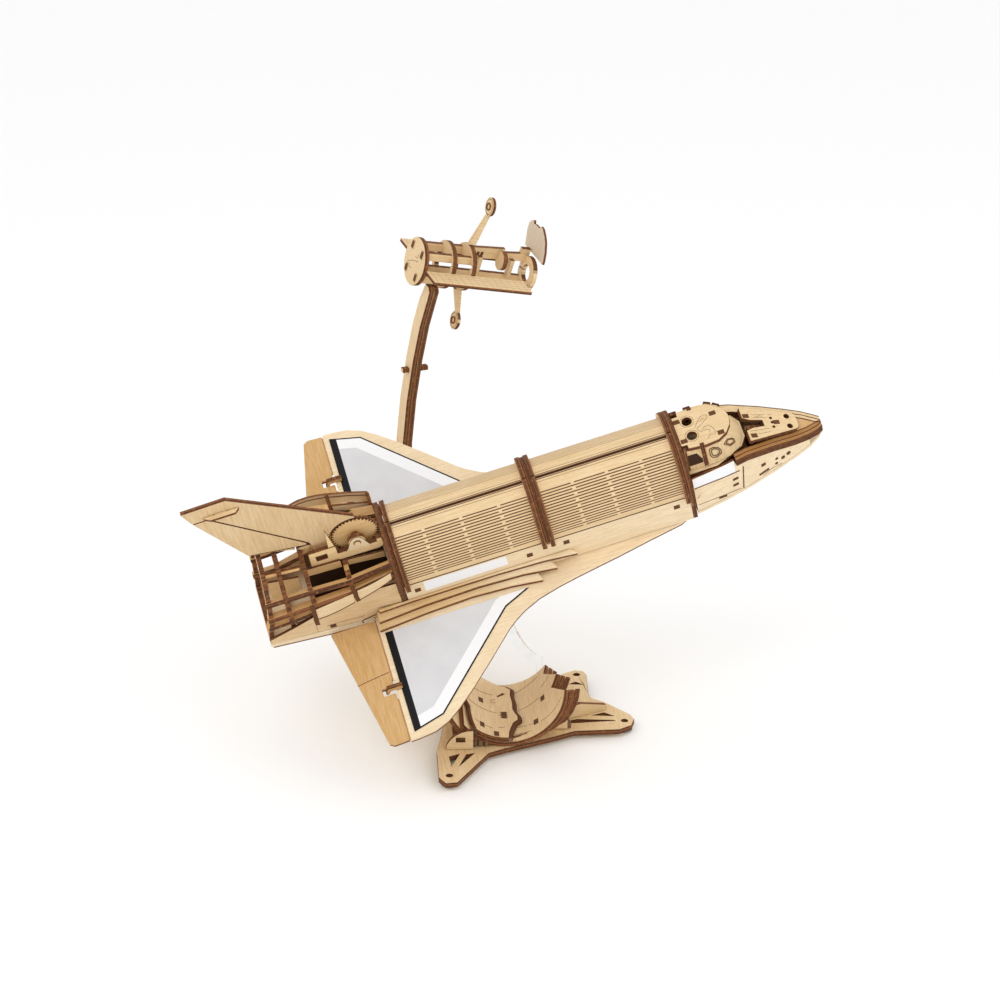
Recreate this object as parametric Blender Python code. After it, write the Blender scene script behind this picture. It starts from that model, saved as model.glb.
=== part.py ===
# Laser-cut plywood model of a space shuttle orbiter on its display stand.
# The orbiter is drawn in its own frame (x forward, y to port, z up, millimetres)
# and then banked and pitched above the stand. Blender units are metres.

import math

import bmesh
import bpy
from mathutils import Euler, Matrix, Vector

MM = 0.001
SHEET = 3.0
SKIN = 1.5
FILM = 0.3
GAP = 0.3

# Poses of the orbiter and of the satellite above the floor
ORBITER_PLACE = (-78.0, 0.0, 112.0)
ORBITER_TURN = (math.radians(30.2), math.radians(-16.4), 0.0)
SATELLITE_PLACE = (-60.7, 58.2, 302.3)
DISPLAY_SHIFT = (13.769, -1.139, 0.0)
SATELLITE_TURN = (math.radians(8.9), math.radians(13.3), math.radians(15.9))

# Fuselage
BAY_LENGTH = 190.0
SIDE_Y = 29.6
SILL_Z = 25.7
DOOR_CENTRE_Z = 25.0
DOOR_RADIUS = 29.8
DOOR_SHEET = 1.6
DOOR_SECTIONS = (("rear", 1.0, 91.5), ("front", 97.0, 186.6))
RIB_OUTER = 33.0
RIB_INNER = 27.2
HINGE_Y = 31.9
HINGE_Z = 25.0
HINGE_EYE = 1.9
BELLY_Z = -6.3

# Wing
WING_TE_X = -23.6
ELEVON_AXIS_X = -26.0
ELEVON_NOTCH = (77.0, 91.0)
WING_EDGE = (
    (-23.6, 123.5), (-17.5, 123.2), (-7.5, 121.9), (2.0, 117.8), (11.0, 111.0),
    (22.4, 100.6), (37.9, 85.0), (56.2, 65.9), (62.0, 61.0), (69.5, 56.0), (80.0, 51.0),
    (94.3, 46.9), (108.3, 43.9), (137.8, 38.4), (158.0, 34.2), (181.8, 29.6), (187.0, 26.4),
    (188.5, 22.0),
)
STEP_ROWS = (
    # lower and upper face, outer edge as (x, |y|)
    (0.35, 3.9, ((-23.0, 40.7), (10.0, 38.0), (40.0, 36.8), (65.0, 38.2), (86.0, 41.1))),
    (3.7, 7.5, ((-21.6, 36.7), (10.0, 34.2), (45.0, 33.3), (75.0, 34.6), (97.0, 37.7))),
    (7.3, 10.6, ((-19.5, 31.6), (2.0, 30.9), (60.0, 30.8), (90.0, 31.8), (112.0, 34.1))),
)

# Aft fuselage: x of the rear face, lean of the top, outline as (|y|, z)
AFT_AXIS_Z = 28.0
FRAME_DEPTH = 5.0
STRINGER_DEPTH = 6.0
AFT_FRAMES = (
    (-93.0, 10.5, ((21.5, 0.9), (23.6, 14.0), (30.0, 26.0), (32.0, 38.0), (29.0, 50.0), (20.0, 60.0), (8.0, 66.5))),
    (-77.0, 4.0, ((22.0, 0.6), (23.2, 15.0), (30.0, 27.0), (32.5, 39.0), (29.5, 51.0), (20.0, 60.0), (8.0, 64.0))),
    (-60.0, 3.0, ((22.8, 0.6), (24.0, 20.0), (30.0, 29.0), (32.5, 40.0), (29.0, 50.0), (20.0, 56.0), (8.0, 59.5))),
    (-32.0, 0.0, ((24.5, 0.4), (25.6, 28.0), (30.0, 34.0), (31.5, 40.0), (28.0, 47.0), (20.0, 49.0), (12.5, 44.5))),
)
BAY_END = (-3.7, 0.0, ((26.0, 0.4), (25.2, 33.0), (28.2, 36.0), (27.5, 41.0), (24.0, 46.0), (17.0, 49.0), (10.0, 52.0)))

# Fin, rudder and thumb wheel
FIN_TIP_REAR = (-115.4, 132.3)
FIN_TIP_FRONT = (-86.3, 133.1)
FIN_ROOT_LE = (-16.0, 76.9)
HINGE_LOW = (-48.9, 63.9)
CLIP_SLOT = (-96.0, -88.0)
CLIP_Z = 121.4
WHEEL_X = -19.0
WHEEL_Z = 58.5
WHEEL_RADIUS = 15.0
WHEEL_TEETH = 36
AXLE = 1.9

# Nose: x, top edge |y| and z, lower edge |y| and z, how far the side stops below the top
NOSE_ROWS = (
    (193.6, 26.8, 39.0, 27.4, 3.0, 0.0), (215.0, 23.5, 38.5, 24.2, 4.0, 0.0), (222.4, 21.9, 38.2, 22.9, 4.9, 0.0),
    (223.8, 21.6, 38.1, 22.8, 5.1, 5.6), (232.0, 19.6, 37.5, 21.4, 6.0, 5.6), (250.0, 15.2, 31.9, 17.3, 8.5, 5.6),
    (265.0, 11.5, 26.0, 13.2, 10.5, 5.6), (275.0, 8.2, 22.4, 10.0, 12.0, 5.6),
    (282.0, 4.8, 19.8, 6.0, 13.0, 5.6), (285.5, 2.4, 19.2, 2.4, 13.4, 5.5),
)
NOSE_RIB_ROWS = (NOSE_ROWS[1], NOSE_ROWS[4], NOSE_ROWS[5], NOSE_ROWS[6])
RAIL_HEIGHT = 5.2
DECK_Z = 38.2
DECK_SLOPE = 0.397

# Stand
PLATE_BOTTOM = 3.0
PLATE_SHEET = 3.6
BASE_TOP = PLATE_BOTTOM + PLATE_SHEET
FEET = ((-55.9, -84.2), (68.2, -22.8), (47.8, 46.9), (-64.0, 102.0))
BASE_EDGE = (
    (-59.5, -94.0), (-63.0, -86.0), (-60.0, -52.0), (-50.0, -12.0), (-58.0, 40.0), (-71.0, 98.0), (-70.0, 107.0),
    (-62.0, 109.0), (-56.0, 104.0), (-34.0, 60.0), (-8.0, 36.0), (20.0, 38.0), (43.0, 51.5), (48.0, 53.5), (53.0, 51.5),
    (54.4, 45.5), (51.0, 17.5), (51.5, 12.0), (59.6, 5.0), (73.0, -14.0), (75.0, -21.3), (71.7, -29.5), (62.9, -34.6),
    (33.4, -33.6), (15.0, -41.3), (-15.6, -52.3), (-26.7, -57.2), (-51.8, -93.6),
)
BASE_CUTS = (
    ((-53.0, -59.0), (-45.4, -55.8), (-53.2, -73.2)),
    ((-41.7, -57.6), (-35.7, -56.2), (-48.7, -73.7)),
    ((31.9, -18.8), (37.5, -17.1), (62.0, -21.2), (61.8, -22.4), (33.0, -22.6)),
    ((47.2, -13.0), (56.7, -9.6), (63.1, -15.8)),
    ((40.2, 33.4), (49.8, 31.6), (45.4, 36.4)),
)

# Globe fragment in its own frame: angle in degrees from its lowest line, distance along its axis
GLOBE_TURN = math.radians(-5.2)
GLOBE_CENTRE = (-9.4, 46.2)
GLOBE_FACE = 36.3
GLOBE_STEP = 5.0
GLOBE_TEETH = ((92.0, -51.0), (59.0, -8.0), (72.0, -3.2), (50.0, 21.0), (54.7, 30.0))
GLOBE_COAST = (
    (2.0, -51.0), (3.0, -44.0), (6.0, -37.0), (9.0, -31.0), (14.5, -28.0), (14.5, -23.0), (12.0, -18.0),
    (10.0, -12.0), (10.5, -3.0), (9.0, 8.0), (10.0, 16.0), (4.0, 21.0), (-5.0, 24.0), (-20.0, 30.0),
)
GLOBE_ARCH = ((-62.0, 30.0), (-62.0, -6.0), (-44.0, -23.0), (-43.6, -32.5), (-40.8, -43.0), (-36.6, -51.0))

# Arm of the satellite: middle line as swing and height, plates as shift and seat height
ARM_FOOT = (-63.0, 98.0)
ARM_HALF = 6.0
ARM_LINE = (
    (1.0, 6.9), (4.0, 60.0), (4.5, 110.0), (2.5, 161.7), (-5.0, 195.0), (-16.0, 227.2), (-28.0, 255.0), (-40.0, 276.0),
)
ARM_PLATES = ((-3.4, 288.2), (0.4, 287.3))
ARM_PINS = ((-13.3, 218.6, -7.8, 10.0), (3.5, 60.0, -4.5, 4.5))


def clear_scene():
    for obj in list(bpy.data.objects):
        bpy.data.objects.remove(obj)


def material(name, colour, roughness, metallic=0.0, alpha=1.0):
    mat = bpy.data.materials.new(name)
    mat.use_nodes = True
    shader = mat.node_tree.nodes["Principled BSDF"]
    shader.inputs["Base Color"].default_value = (*colour, 1.0)
    shader.inputs["Roughness"].default_value = roughness
    shader.inputs["Metallic"].default_value = metallic
    shader.inputs["Alpha"].default_value = alpha
    return mat


# Planes that the sheets lie in

def plan(z):
    """Sheet coordinates are x and y, the thickness goes up from z."""
    return Matrix.Translation((0.0, 0.0, z))


def side(y):
    """Sheet coordinates are x and z, the thickness goes from y towards starboard."""
    return Matrix(((1, 0, 0, 0), (0, 0, -1, y), (0, 1, 0, 0), (0, 0, 0, 1)))


def cross(x):
    """Sheet coordinates are y and z, the thickness goes forward from x."""
    return Matrix(((0, 0, 1, x), (1, 0, 0, 0), (0, 1, 0, 0), (0, 0, 0, 1)))


def sheet(loops, thickness, place):
    """Closed mesh of a flat sheet with holes: the first loop is its outline."""
    curve = bpy.data.curves.new("outline", "CURVE")
    curve.dimensions = "2D"
    curve.fill_mode = "BOTH"
    curve.extrude = thickness / 2
    for loop in loops:
        spline = curve.splines.new("POLY")
        spline.points.add(len(loop) - 1)
        for point, (a, b) in zip(spline.points, loop):
            point.co = (a, b, 0.0, 1.0)
        spline.use_cyclic_u = True
    holder = bpy.data.objects.new("outline", curve)
    bpy.context.scene.collection.objects.link(holder)
    bpy.context.view_layer.update()
    depsgraph = bpy.context.evaluated_depsgraph_get()
    flat = bpy.data.meshes.new_from_object(holder.evaluated_get(depsgraph))
    bpy.data.objects.remove(holder)
    bm = bmesh.new()
    bm.from_mesh(flat)
    bmesh.ops.remove_doubles(bm, verts=bm.verts, dist=1e-4)
    bmesh.ops.transform(bm, matrix=place @ Matrix.Translation((0, 0, thickness / 2)), verts=bm.verts)
    bmesh.ops.recalc_face_normals(bm, faces=bm.faces)
    return bm


def loft(rings):
    """Closed mesh through rings of points, capped at both ends."""
    bm = bmesh.new()
    rows = [[bm.verts.new(point) for point in ring] for ring in rings]
    count = len(rows[0])
    for low, high in zip(rows, rows[1:]):
        for i in range(count):
            j = (i + 1) % count
            bm.faces.new((low[i], low[j], high[j], high[i]))
    bm.faces.new(rows[0])
    bm.faces.new(rows[-1])
    bmesh.ops.recalc_face_normals(bm, faces=bm.faces)
    return bm


def fuse(pieces):
    """Union of closed pieces that run into each other."""
    holders = []
    for piece in pieces:
        mesh = bpy.data.meshes.new("piece")
        piece.to_mesh(mesh)
        piece.free()
        holder = bpy.data.objects.new("piece", mesh)
        bpy.context.scene.collection.objects.link(holder)
        holders.append(holder)
    for other in holders[1:]:
        cut = holders[0].modifiers.new("join", "BOOLEAN")
        cut.operation = "UNION"
        cut.solver = "EXACT"
        cut.object = other
    bpy.context.view_layer.update()
    depsgraph = bpy.context.evaluated_depsgraph_get()
    joined = bpy.data.meshes.new_from_object(holders[0].evaluated_get(depsgraph))
    bm = bmesh.new()
    bm.from_mesh(joined)
    bpy.data.meshes.remove(joined)
    for holder in holders:
        bpy.data.objects.remove(holder)
    bmesh.ops.remove_doubles(bm, verts=bm.verts, dist=1e-3)
    bmesh.ops.dissolve_degenerate(bm, edges=bm.edges, dist=1e-3)
    return bm


def arc(centre, radius, start, end, steps):
    """Points on a circle between two angles in degrees."""
    points = []
    for i in range(steps + 1):
        angle = math.radians(start + (end - start) * i / steps)
        points.append((centre[0] + radius * math.cos(angle), centre[1] + radius * math.sin(angle)))
    return points


def circle(centre, radius, steps=24):
    return arc(centre, radius, 0.0, 360.0 - 360.0 / steps, steps - 1)


def rect(a0, b0, a1, b1):
    return [(a0, b0), (a1, b0), (a1, b1), (a0, b1)]


def node(name, piece, mat, parent=None, origin=(0.0, 0.0, 0.0)):
    """One named object, given in millimetres in its parent's frame, with its origin on its joint."""
    bmesh.ops.translate(piece, vec=-Vector(origin), verts=piece.verts)
    bmesh.ops.scale(piece, vec=(MM, MM, MM), verts=piece.verts)
    bmesh.ops.recalc_face_normals(piece, faces=piece.faces)
    mesh = bpy.data.meshes.new(name)
    piece.to_mesh(mesh)
    piece.free()
    obj = bpy.data.objects.new(name, mesh)
    bpy.context.scene.collection.objects.link(obj)
    obj.data.materials.append(mat)
    obj.parent = parent
    obj.location = Vector(origin) * MM
    return obj


def pose(name, place, turn, parent=None):
    empty = bpy.data.objects.new(name, None)
    bpy.context.scene.collection.objects.link(empty)
    empty.parent = parent
    empty.location = Vector(place) * MM
    empty.rotation_euler = Euler(turn)
    return empty


SIDES = (("left", 1), ("right", -1))


def flip(points, sign):
    """Outline of the port side, or its mirror image to starboard."""
    return [(x, sign * y) for x, y in points]


def both(half):
    """Whole outline out of its port half, whose points run along x."""
    return half + [(x, -y) for x, y in reversed(half)]


# Wings

def wings(parent, wood, film):
    inner = [(188.5, 0.2), (WING_TE_X, 0.2)]
    for label, sign in SIDES:
        outline = flip(list(WING_EDGE) + inner, sign)
        node("wing_" + label, sheet([outline], SHEET, plan(-SHEET)), wood, parent)
        decal = flip([(-20.4, 41.8), (76.0, 41.8), (58.4, 50.4), (0.6, 112.6), (-20.0, 118.6)], sign)
        node("wing_film_" + label, sheet([decal], FILM, plan(0.1)), film, parent)


def root_steps(parent, wood):
    """Three stacked strips along each wing root, glued into one piece."""
    wall = SIDE_Y + GAP
    for label, sign in SIDES:
        strips = []
        for low, high, edge in STEP_ROWS:
            outline = list(edge) + [(edge[-1][0] - 4.0, wall), (edge[0][0], wall)]
            strips.append(sheet([flip(outline, sign)], high - low, plan(low)))
        node("wing_root_steps_" + label, fuse(strips), wood, parent)


def elevons(parent, wood):
    for label, sign in SIDES:
        front = ELEVON_AXIS_X + SHEET / 2
        outline = [
            (front, 30.6), (front, ELEVON_NOTCH[0]), (-32.5, ELEVON_NOTCH[0]), (-32.5, ELEVON_NOTCH[1]),
            (front, ELEVON_NOTCH[1]), (front, 122.4), (-34.5, 123.0), (-37.2, 121.2), (-54.2, 30.6),
        ]
        node("elevon_" + label, sheet([flip(outline, sign)], SHEET, plan(-SHEET)), wood, parent,
             origin=(ELEVON_AXIS_X, 0.0, -SHEET / 2))
        outline = [(-30.6, -2.2), (-28.6, -2.2), (-27.2, 0.7), (-19.0, 0.7), (-19.0, 3.7), (-28.8, 3.7)]
        middle = sign * (ELEVON_NOTCH[0] + ELEVON_NOTCH[1]) / 2
        node("elevon_hook_" + label, sheet([outline], SHEET, side(middle + SHEET / 2)), wood, parent)


# Fuselage shell

def belly(parent, wood):
    half = [(-92.0, 23.0), (-54.0, 26.5), (-24.0, 27.5), (0.0, 26.0), (186.0, 25.0), (193.0, 24.0)]
    node("belly_plate", sheet([both(half)], SHEET, plan(BELLY_Z)), wood, parent)
    half = [(-93.0, 24.0), (WING_TE_X - 0.5, 28.6)]
    node("aft_floor", sheet([both(half)], SHEET, plan(-SHEET)), wood, parent)


def bay_sides(parent, wood):
    for label, sign in SIDES:
        start = SIDE_Y if sign > 0 else -SIDE_Y + SHEET
        outline = rect(GAP, GAP, BAY_LENGTH - GAP, SILL_Z - 0.4)
        node("bay_side_" + label, sheet([outline], SHEET, side(start)), wood, parent)


def bulkhead(foot, foot_half, neck):
    """Frame loops: a round hoop above the sill on a narrower lower part."""
    centre = (0.0, DOOR_CENTRE_Z)
    hoop = arc(centre, RIB_OUTER, -8.0, 188.0, 28)
    outline = [(foot_half, foot), (foot_half, neck)] + hoop + [(-foot_half, neck), (-foot_half, foot)]
    opening = arc(centre, 24.6, 0.0, 180.0, 24)
    opening = [(24.6, foot + 6.0)] + opening + [(-24.6, foot + 6.0)]
    return [outline, opening]


def bulkheads(parent, wood):
    rear = sheet(bulkhead(GAP, 29.4, 19.5), SHEET, cross(-SHEET - GAP))
    node("rear_bulkhead", rear, wood, parent)
    front = sheet(bulkhead(-3.0, 27.4, 10.0), SHEET, cross(BAY_LENGTH))
    node("front_bulkhead", front, wood, parent)


# Payload bay doors

def door_rib(x, sign):
    centre = (0.0, DOOR_CENTRE_Z)
    top = 90.0 - 0.7
    outer = arc(centre, RIB_OUTER, 3.4, top, 16)
    inner = arc(centre, RIB_INNER, 3.4, top, 16)
    eye = arc((HINGE_Y, HINGE_Z), HINGE_EYE, 150.0, 390.0, 10)
    loop = inner[::-1] + eye + outer
    return sheet([[(sign * y, z) for y, z in loop]], SHEET, cross(x))


def door_skin(x0, x1, sign):
    centre = (0.0, DOOR_CENTRE_Z)
    outer = arc(centre, DOOR_RADIUS, 3.0, 89.2, 20)
    inner = arc(centre, DOOR_RADIUS - DOOR_SHEET, 3.0, 89.2, 20)
    loop = [(sign * y, z) for y, z in outer + inner[::-1]]
    return sheet([loop], x1 - x0, cross(x0))


def doors(parent, wood):
    for label, sign in SIDES:
        for section, rear_rib, front_rib in DOOR_SECTIONS:
            skin = door_skin(rear_rib + 1.0, front_rib + 2.0, sign)
            ribs = [door_rib(rear_rib, sign), door_rib(front_rib, sign)]
            node(section + "_door_" + label, fuse([skin] + ribs), wood, parent,
                 origin=(0.0, sign * HINGE_Y, HINGE_Z))


# Aft fuselage

def tilted(x, lean, height):
    """Cross plane whose top leans forward."""
    return Matrix.Translation((x, 0.0, 0.0)) @ Matrix.Rotation(math.atan2(lean, height), 4, "Y") @ cross(0.0)


def inset(points, depth):
    """The outline moved towards the axis of the fuselage."""
    moved = []
    for y, z in points:
        away = Vector((y, z - AFT_AXIS_Z))
        away = away - away.normalized() * depth
        moved.append((max(away.x, 2.2), max(away.y + AFT_AXIS_Z, 6.0)))
    return moved


def loop_of(half):
    return list(half) + [(-y, z) for y, z in reversed(half)]


def aft_frame(x, lean, outline):
    opening = inset(outline, FRAME_DEPTH)
    return sheet([loop_of(outline), loop_of(opening)], SHEET, tilted(x, lean, outline[-1][1]))


def stringer(index, sign):
    """Long bar through one corner of every aft frame."""
    rings = []
    for x, lean, outline in AFT_FRAMES + (BAY_END,):
        y, z = outline[index]
        radial = Vector((0.0, y, z - AFT_AXIS_Z)).normalized()
        across = Vector((0.0, -radial.z, radial.y)) * SHEET / 2
        corner = Vector((x + lean * z / outline[-1][1], y, z)) + radial * 0.3
        if x == AFT_FRAMES[0][0]:
            corner.x -= 0.6
        deep = corner - radial * STRINGER_DEPTH
        ring = [corner + across, corner - across, deep - across, deep + across]
        rings.append([(p.x, sign * p.y, p.z) for p in ring])
    return loft(rings)


def aft_cage(parent, wood):
    pieces = [aft_frame(x, lean, outline) for x, lean, outline in AFT_FRAMES]
    for index in (1, 2, 3, 4):
        for sign in (1, -1):
            pieces.append(stringer(index, sign))
    node("aft_cage", fuse(pieces), wood, parent)


def aft_sides(parent, wood):
    for label, sign in SIDES:
        rear = Vector((-91.5, sign * 24.4, 0.0))
        front = Vector((-3.8, sign * 29.2, 0.0))
        along = (front - rear).normalized()
        normal = Vector((along.y, -along.x, 0.0))
        place = Matrix.Identity(4)
        place.col[0] = (*along, 0.0)
        place.col[1] = (0.0, 0.0, 1.0, 0.0)
        place.col[2] = (*normal, 0.0)
        place.col[3] = (*rear, 1.0)
        length = (front - rear).length
        top = [(length, 31.6), (length - 16, 30.6), (length - 36, 26.6), (length - 56, 19.5), (length - 70, 13.0),
               (0.0, 6.0)]
        outline = [(0.0, GAP), (length, GAP)] + top
        shift = Matrix.Translation((0, 0, 0.0 if sign > 0 else -SKIN))
        node("aft_side_" + label, sheet([outline], SKIN, place @ shift), wood, parent)


# Fin, rudder and thumb wheel

def fin(parent, wood):
    rim = arc((WHEEL_X, WHEEL_Z), WHEEL_RADIUS + 1.6, 78.0, 214.0, 14)
    outline = [
        (-111.6, 121.6), FIN_TIP_REAR, FIN_TIP_FRONT, FIN_ROOT_LE, *rim, (-34.5, 46.3), (-46.0, 46.3),
        (-47.4, 62.2), (-48.1, 64.4), (-99.6, 118.9), (-100.6, 120.0), (-110.9, 120.0),
    ]
    slot = rect(CLIP_SLOT[0] - 0.3, CLIP_Z - 0.3, CLIP_SLOT[1] + 0.3, CLIP_Z + 2.3)
    node("fin", sheet([outline, slot], SHEET, side(SHEET / 2)), wood, parent)
    wide = [(-103.0, 2.5), (-99.0, 5.0), (-83.0, 5.0), (-80.5, 2.5), (-80.5, 1.8),
            (CLIP_SLOT[1], 1.8), (CLIP_SLOT[1], -1.8), (-80.5, -1.8), (-80.5, -2.5), (-83.0, -5.0), (-99.0, -5.0),
            (-103.0, -2.5), (-103.0, -1.8), (CLIP_SLOT[0], -1.8), (CLIP_SLOT[0], 1.8), (-103.0, 1.8)]
    node("fin_clip", sheet([wide], 2.0, plan(CLIP_Z)), wood, parent)


def rudder(parent, wood):
    outline = [(-49.4, 64.4), (-100.9, 119.0), (-110.6, 119.0), (-86.6, 70.0), (-50.2, 62.6)]
    node("rudder", sheet([outline], SHEET, side(SHEET / 2)), wood, parent,
         origin=(HINGE_LOW[0], 0.0, HINGE_LOW[1]))


def wheel(parent, wood):
    centre = (WHEEL_X, WHEEL_Z)
    pitch = 360.0 / WHEEL_TEETH
    outline = []
    for i in range(WHEEL_TEETH):
        outline += arc(centre, WHEEL_RADIUS, pitch * i, pitch * (i + 0.45), 1)
        outline += arc(centre, WHEEL_RADIUS - 1.2, pitch * (i + 0.55), pitch * (i + 0.9), 1)
    disc = sheet([outline, circle(centre, AXLE + GAP)], SHEET, side(SHEET / 2))
    node("thumb_wheel", disc, wood, parent, origin=(WHEEL_X, 0.0, WHEEL_Z))


def wheel_mount(parent, wood):
    """Two bracket plates joined by the axle and by the pin under the fin."""
    outline = [
        (-51.4, 45.8), (-6.9, 44.8), (-3.7, 46.6), (-3.7, 55.0), (-7.0, 55.0), (-7.0, 52.0), (-12.0, 52.0),
    ]
    outline += arc((WHEEL_X, WHEEL_Z), 5.6, -50.0, 230.0, 14)
    outline += [(-26.0, 52.0), (-33.0, 52.0), (-33.0, 60.5), (-50.6, 60.5)]
    window = rect(-47.0, 50.5, -39.5, 56.0)
    plates = [sheet([outline, window], SHEET, side(y)) for y in (-5.0, 5.0 + SHEET)]
    axle = sheet([circle((WHEEL_X, WHEEL_Z), AXLE, 20)], 19.0, side(9.5))
    pin = sheet([circle((-40.0, 46.3 - GAP - 1.2), 1.2, 12)], 14.0, side(7.0))
    pointer = sheet([[(-34.5, 60.0), (-33.4, 60.0), (-36.0, 79.0), (-37.5, 60.0)]], 1.6, side(-5.7))
    node("wheel_mount", fuse(plates + [axle, pin, pointer]), wood, parent)


# Nose

def nose_sides(parent, wood):
    for label, sign in SIDES:
        rings = []
        for x, y_top, z_top, y_low, z_low, cut in NOSE_ROWS:
            share = (z_top - cut - z_low) / (z_top - z_low)
            y_high = y_low + (y_top - y_low) * share
            rings.append([
                (x, sign * y_low, z_low), (x, sign * y_high, z_top - cut),
                (x, sign * (y_high - SKIN), z_top - cut), (x, sign * (y_low - SKIN), z_low),
            ])
        node("nose_side_" + label, loft(rings), wood, parent)


def nose_rails(parent, wood):
    for label, sign in SIDES:
        rings = []
        for x, y_top, z_top, _, _, _ in NOSE_ROWS[3:]:
            out = y_top + 1.2
            deep = max(y_top - 4.6, 0.25)
            rings.append([
                (x, sign * out, z_top - RAIL_HEIGHT), (x, sign * out, z_top),
                (x, sign * deep, z_top), (x, sign * deep, z_top - RAIL_HEIGHT),
            ])
        node("nose_rail_" + label, loft(rings), wood, parent)


def nose_floor(parent, wood):
    rings = []
    for x, _, _, y_low, z_low, _ in NOSE_ROWS:
        top = z_low - 0.4
        rings.append([(x, -y_low, top), (x, y_low, top), (x, y_low, top - 2.5), (x, -y_low, top - 2.5)])
    node("nose_floor", loft(rings), wood, parent)


def nose_deck(parent, wood):
    length = 36.0
    half = [(0.0, 13.7), (0.0, 5.0), (5.0, 3.2), (13.0, 2.4)]
    nose = [(length - 2.0, -6.4), (length, -4.4), (length, 4.4), (length - 2.0, 6.4)]
    outline = half + [(x, -y) for x, y in reversed(half)] + nose
    holes = [circle((30.0, 4.0), 1.9, 16), circle((30.0, -4.0), 1.9, 16)]
    holes += [circle((19.0, y), 1.0, 12) for y in (-3.6, 0.0, 3.6)]
    place = Matrix.Translation((235.9, 0.0, DECK_Z)) @ Matrix.Rotation(math.atan(DECK_SLOPE), 4, "Y")
    node("nose_deck", sheet([outline] + holes, SHEET, place), wood, parent)


def nose_cage(parent, wood):
    low = [(row[0] + (0.4 if row is NOSE_ROWS[0] else 0.0), row[4] + 0.2) for row in NOSE_ROWS[:8]]
    keel = low + [(279.0, 13.6), (279.0, 18.0), (265.0, DECK_Z - DECK_SLOPE * 29.1 - GAP),
                  (237.0, DECK_Z - DECK_SLOPE * 1.1 - GAP), (236.6, 34.3), (NOSE_ROWS[0][0] + 0.4, 34.3)]
    pieces = [sheet([keel], SHEET, side(SHEET / 2))]
    for x, y_top, z_top, y_low, z_low, cut in NOSE_RIB_ROWS:
        top = min(z_top - RAIL_HEIGHT - 1.2, 34.3)
        wide = y_low - SKIN - 1.0
        narrow = y_top - SKIN - 0.8
        half = [(wide, z_low + 0.9), (narrow, top)]
        outline = half + [(-y, z) for y, z in reversed(half)]
        pieces.append(sheet([outline], SHEET, cross(x - 0.7)))
    node("nose_cage", fuse(pieces), wood, parent)


def cabin(parent, wood):
    roof = [(193.4, 11.5), (197.0, 11.5), (197.0, 14.5), (208.0, 15.6), (217.0, 14.6), (223.0, 11.0), (226.6, 6.0),
            (227.8, 1.5)]
    holes = [circle((201.8, 5.8), 3.2, 20), circle((201.8, -5.8), 3.2, 20)]
    node("cabin_roof", sheet([both(roof)] + holes, SHEET, plan(52.0)), wood, parent)
    top = [(193.6, 13.6), (208.0, 14.6), (217.0, 13.6), (222.6, 10.4), (226.0, 5.6), (227.2, 0.0)]
    low = [(193.6, 19.0), (210.0, 19.5), (222.0, 17.6), (229.5, 13.0), (233.0, 7.0), (234.4, 0.0)]
    top = top + [(x, -y) for x, y in reversed(top[:-1])]
    low = low + [(x, -y) for x, y in reversed(low[:-1])]
    rings = []
    for (xt, yt), (xl, yl) in zip(top, low):
        out = Vector((xl - xt, yl - yt, 0.0)).normalized() * SKIN * 1.2
        rings.append([(xl, yl, 38.0), (xt, yt, 51.7), (xt - out.x, yt - out.y, 51.7), (xl - out.x, yl - out.y, 38.0)])
    node("cabin_windows", loft(rings), wood, parent)
    shelf = [(193.6, 22.0), (212.0, 21.6), (222.8, 16.5), (231.0, 12.4), (235.0, 6.0)]
    node("cabin_shelf", sheet([both(shelf)], SHEET, plan(34.6)), wood, parent)


# Display stand

def stand_base(parent, wood, rubber):
    holes = [circle(foot, 2.3, 16) for foot in FEET]
    loops = [BASE_EDGE] + holes + list(BASE_CUTS)
    node("stand_base", sheet(loops, PLATE_SHEET, plan(PLATE_BOTTOM)), wood, parent)
    for index, foot in enumerate(FEET, 1):
        pad = sheet([circle(foot, 5.2, 24)], PLATE_BOTTOM - GAP, plan(0.0))
        node("stand_foot_%d" % index, pad, rubber, parent)


def stand_rib(parent, wood):
    """Low upright plate along the right leg of the base."""
    start = Vector((34.9, -12.5, 0.0))
    along = (Vector((57.8, -3.7, 0.0)) - start).normalized()
    place = Matrix.Identity(4)
    place.col[0] = (*along, 0.0)
    place.col[1] = (0.0, 0.0, 1.0, 0.0)
    place.col[2] = (along.y, -along.x, 0.0, 0.0)
    place.col[3] = (*start, 1.0)
    foot = BASE_TOP + GAP
    outline = [(-4.0, foot), (24.5, foot), (24.5, foot + 3.6), (5.0, foot + 9.0), (-4.0, foot + 9.0)]
    node("stand_rib", sheet([outline], SHEET, place), wood, parent)


def globe_place():
    return Matrix.Rotation(GLOBE_TURN, 4, "Z")


def bent(outline, inner, thickness):
    """Sheet bent round the globe's axis, its outline given as angle and distance along the axis."""
    flat = sheet([[(math.radians(angle) * inner, along) for angle, along in outline]], thickness, plan(0.0))
    step = math.radians(GLOBE_STEP) * inner
    for i in range(-20, 21):
        geometry = list(flat.verts) + list(flat.edges) + list(flat.faces)
        bmesh.ops.bisect_plane(flat, geom=geometry, dist=1e-4, plane_co=(i * step, 0.0, 0.0), plane_no=(1.0, 0.0, 0.0))
    for vert in flat.verts:
        angle = vert.co.x / inner
        radius = inner + vert.co.z
        x = GLOBE_CENTRE[0] + radius * math.sin(angle)
        z = GLOBE_CENTRE[1] - radius * math.cos(angle)
        vert.co = (x, vert.co.y, z)
    bmesh.ops.transform(flat, matrix=globe_place(), verts=flat.verts)
    bmesh.ops.recalc_face_normals(flat, faces=flat.faces)
    return flat


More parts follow.
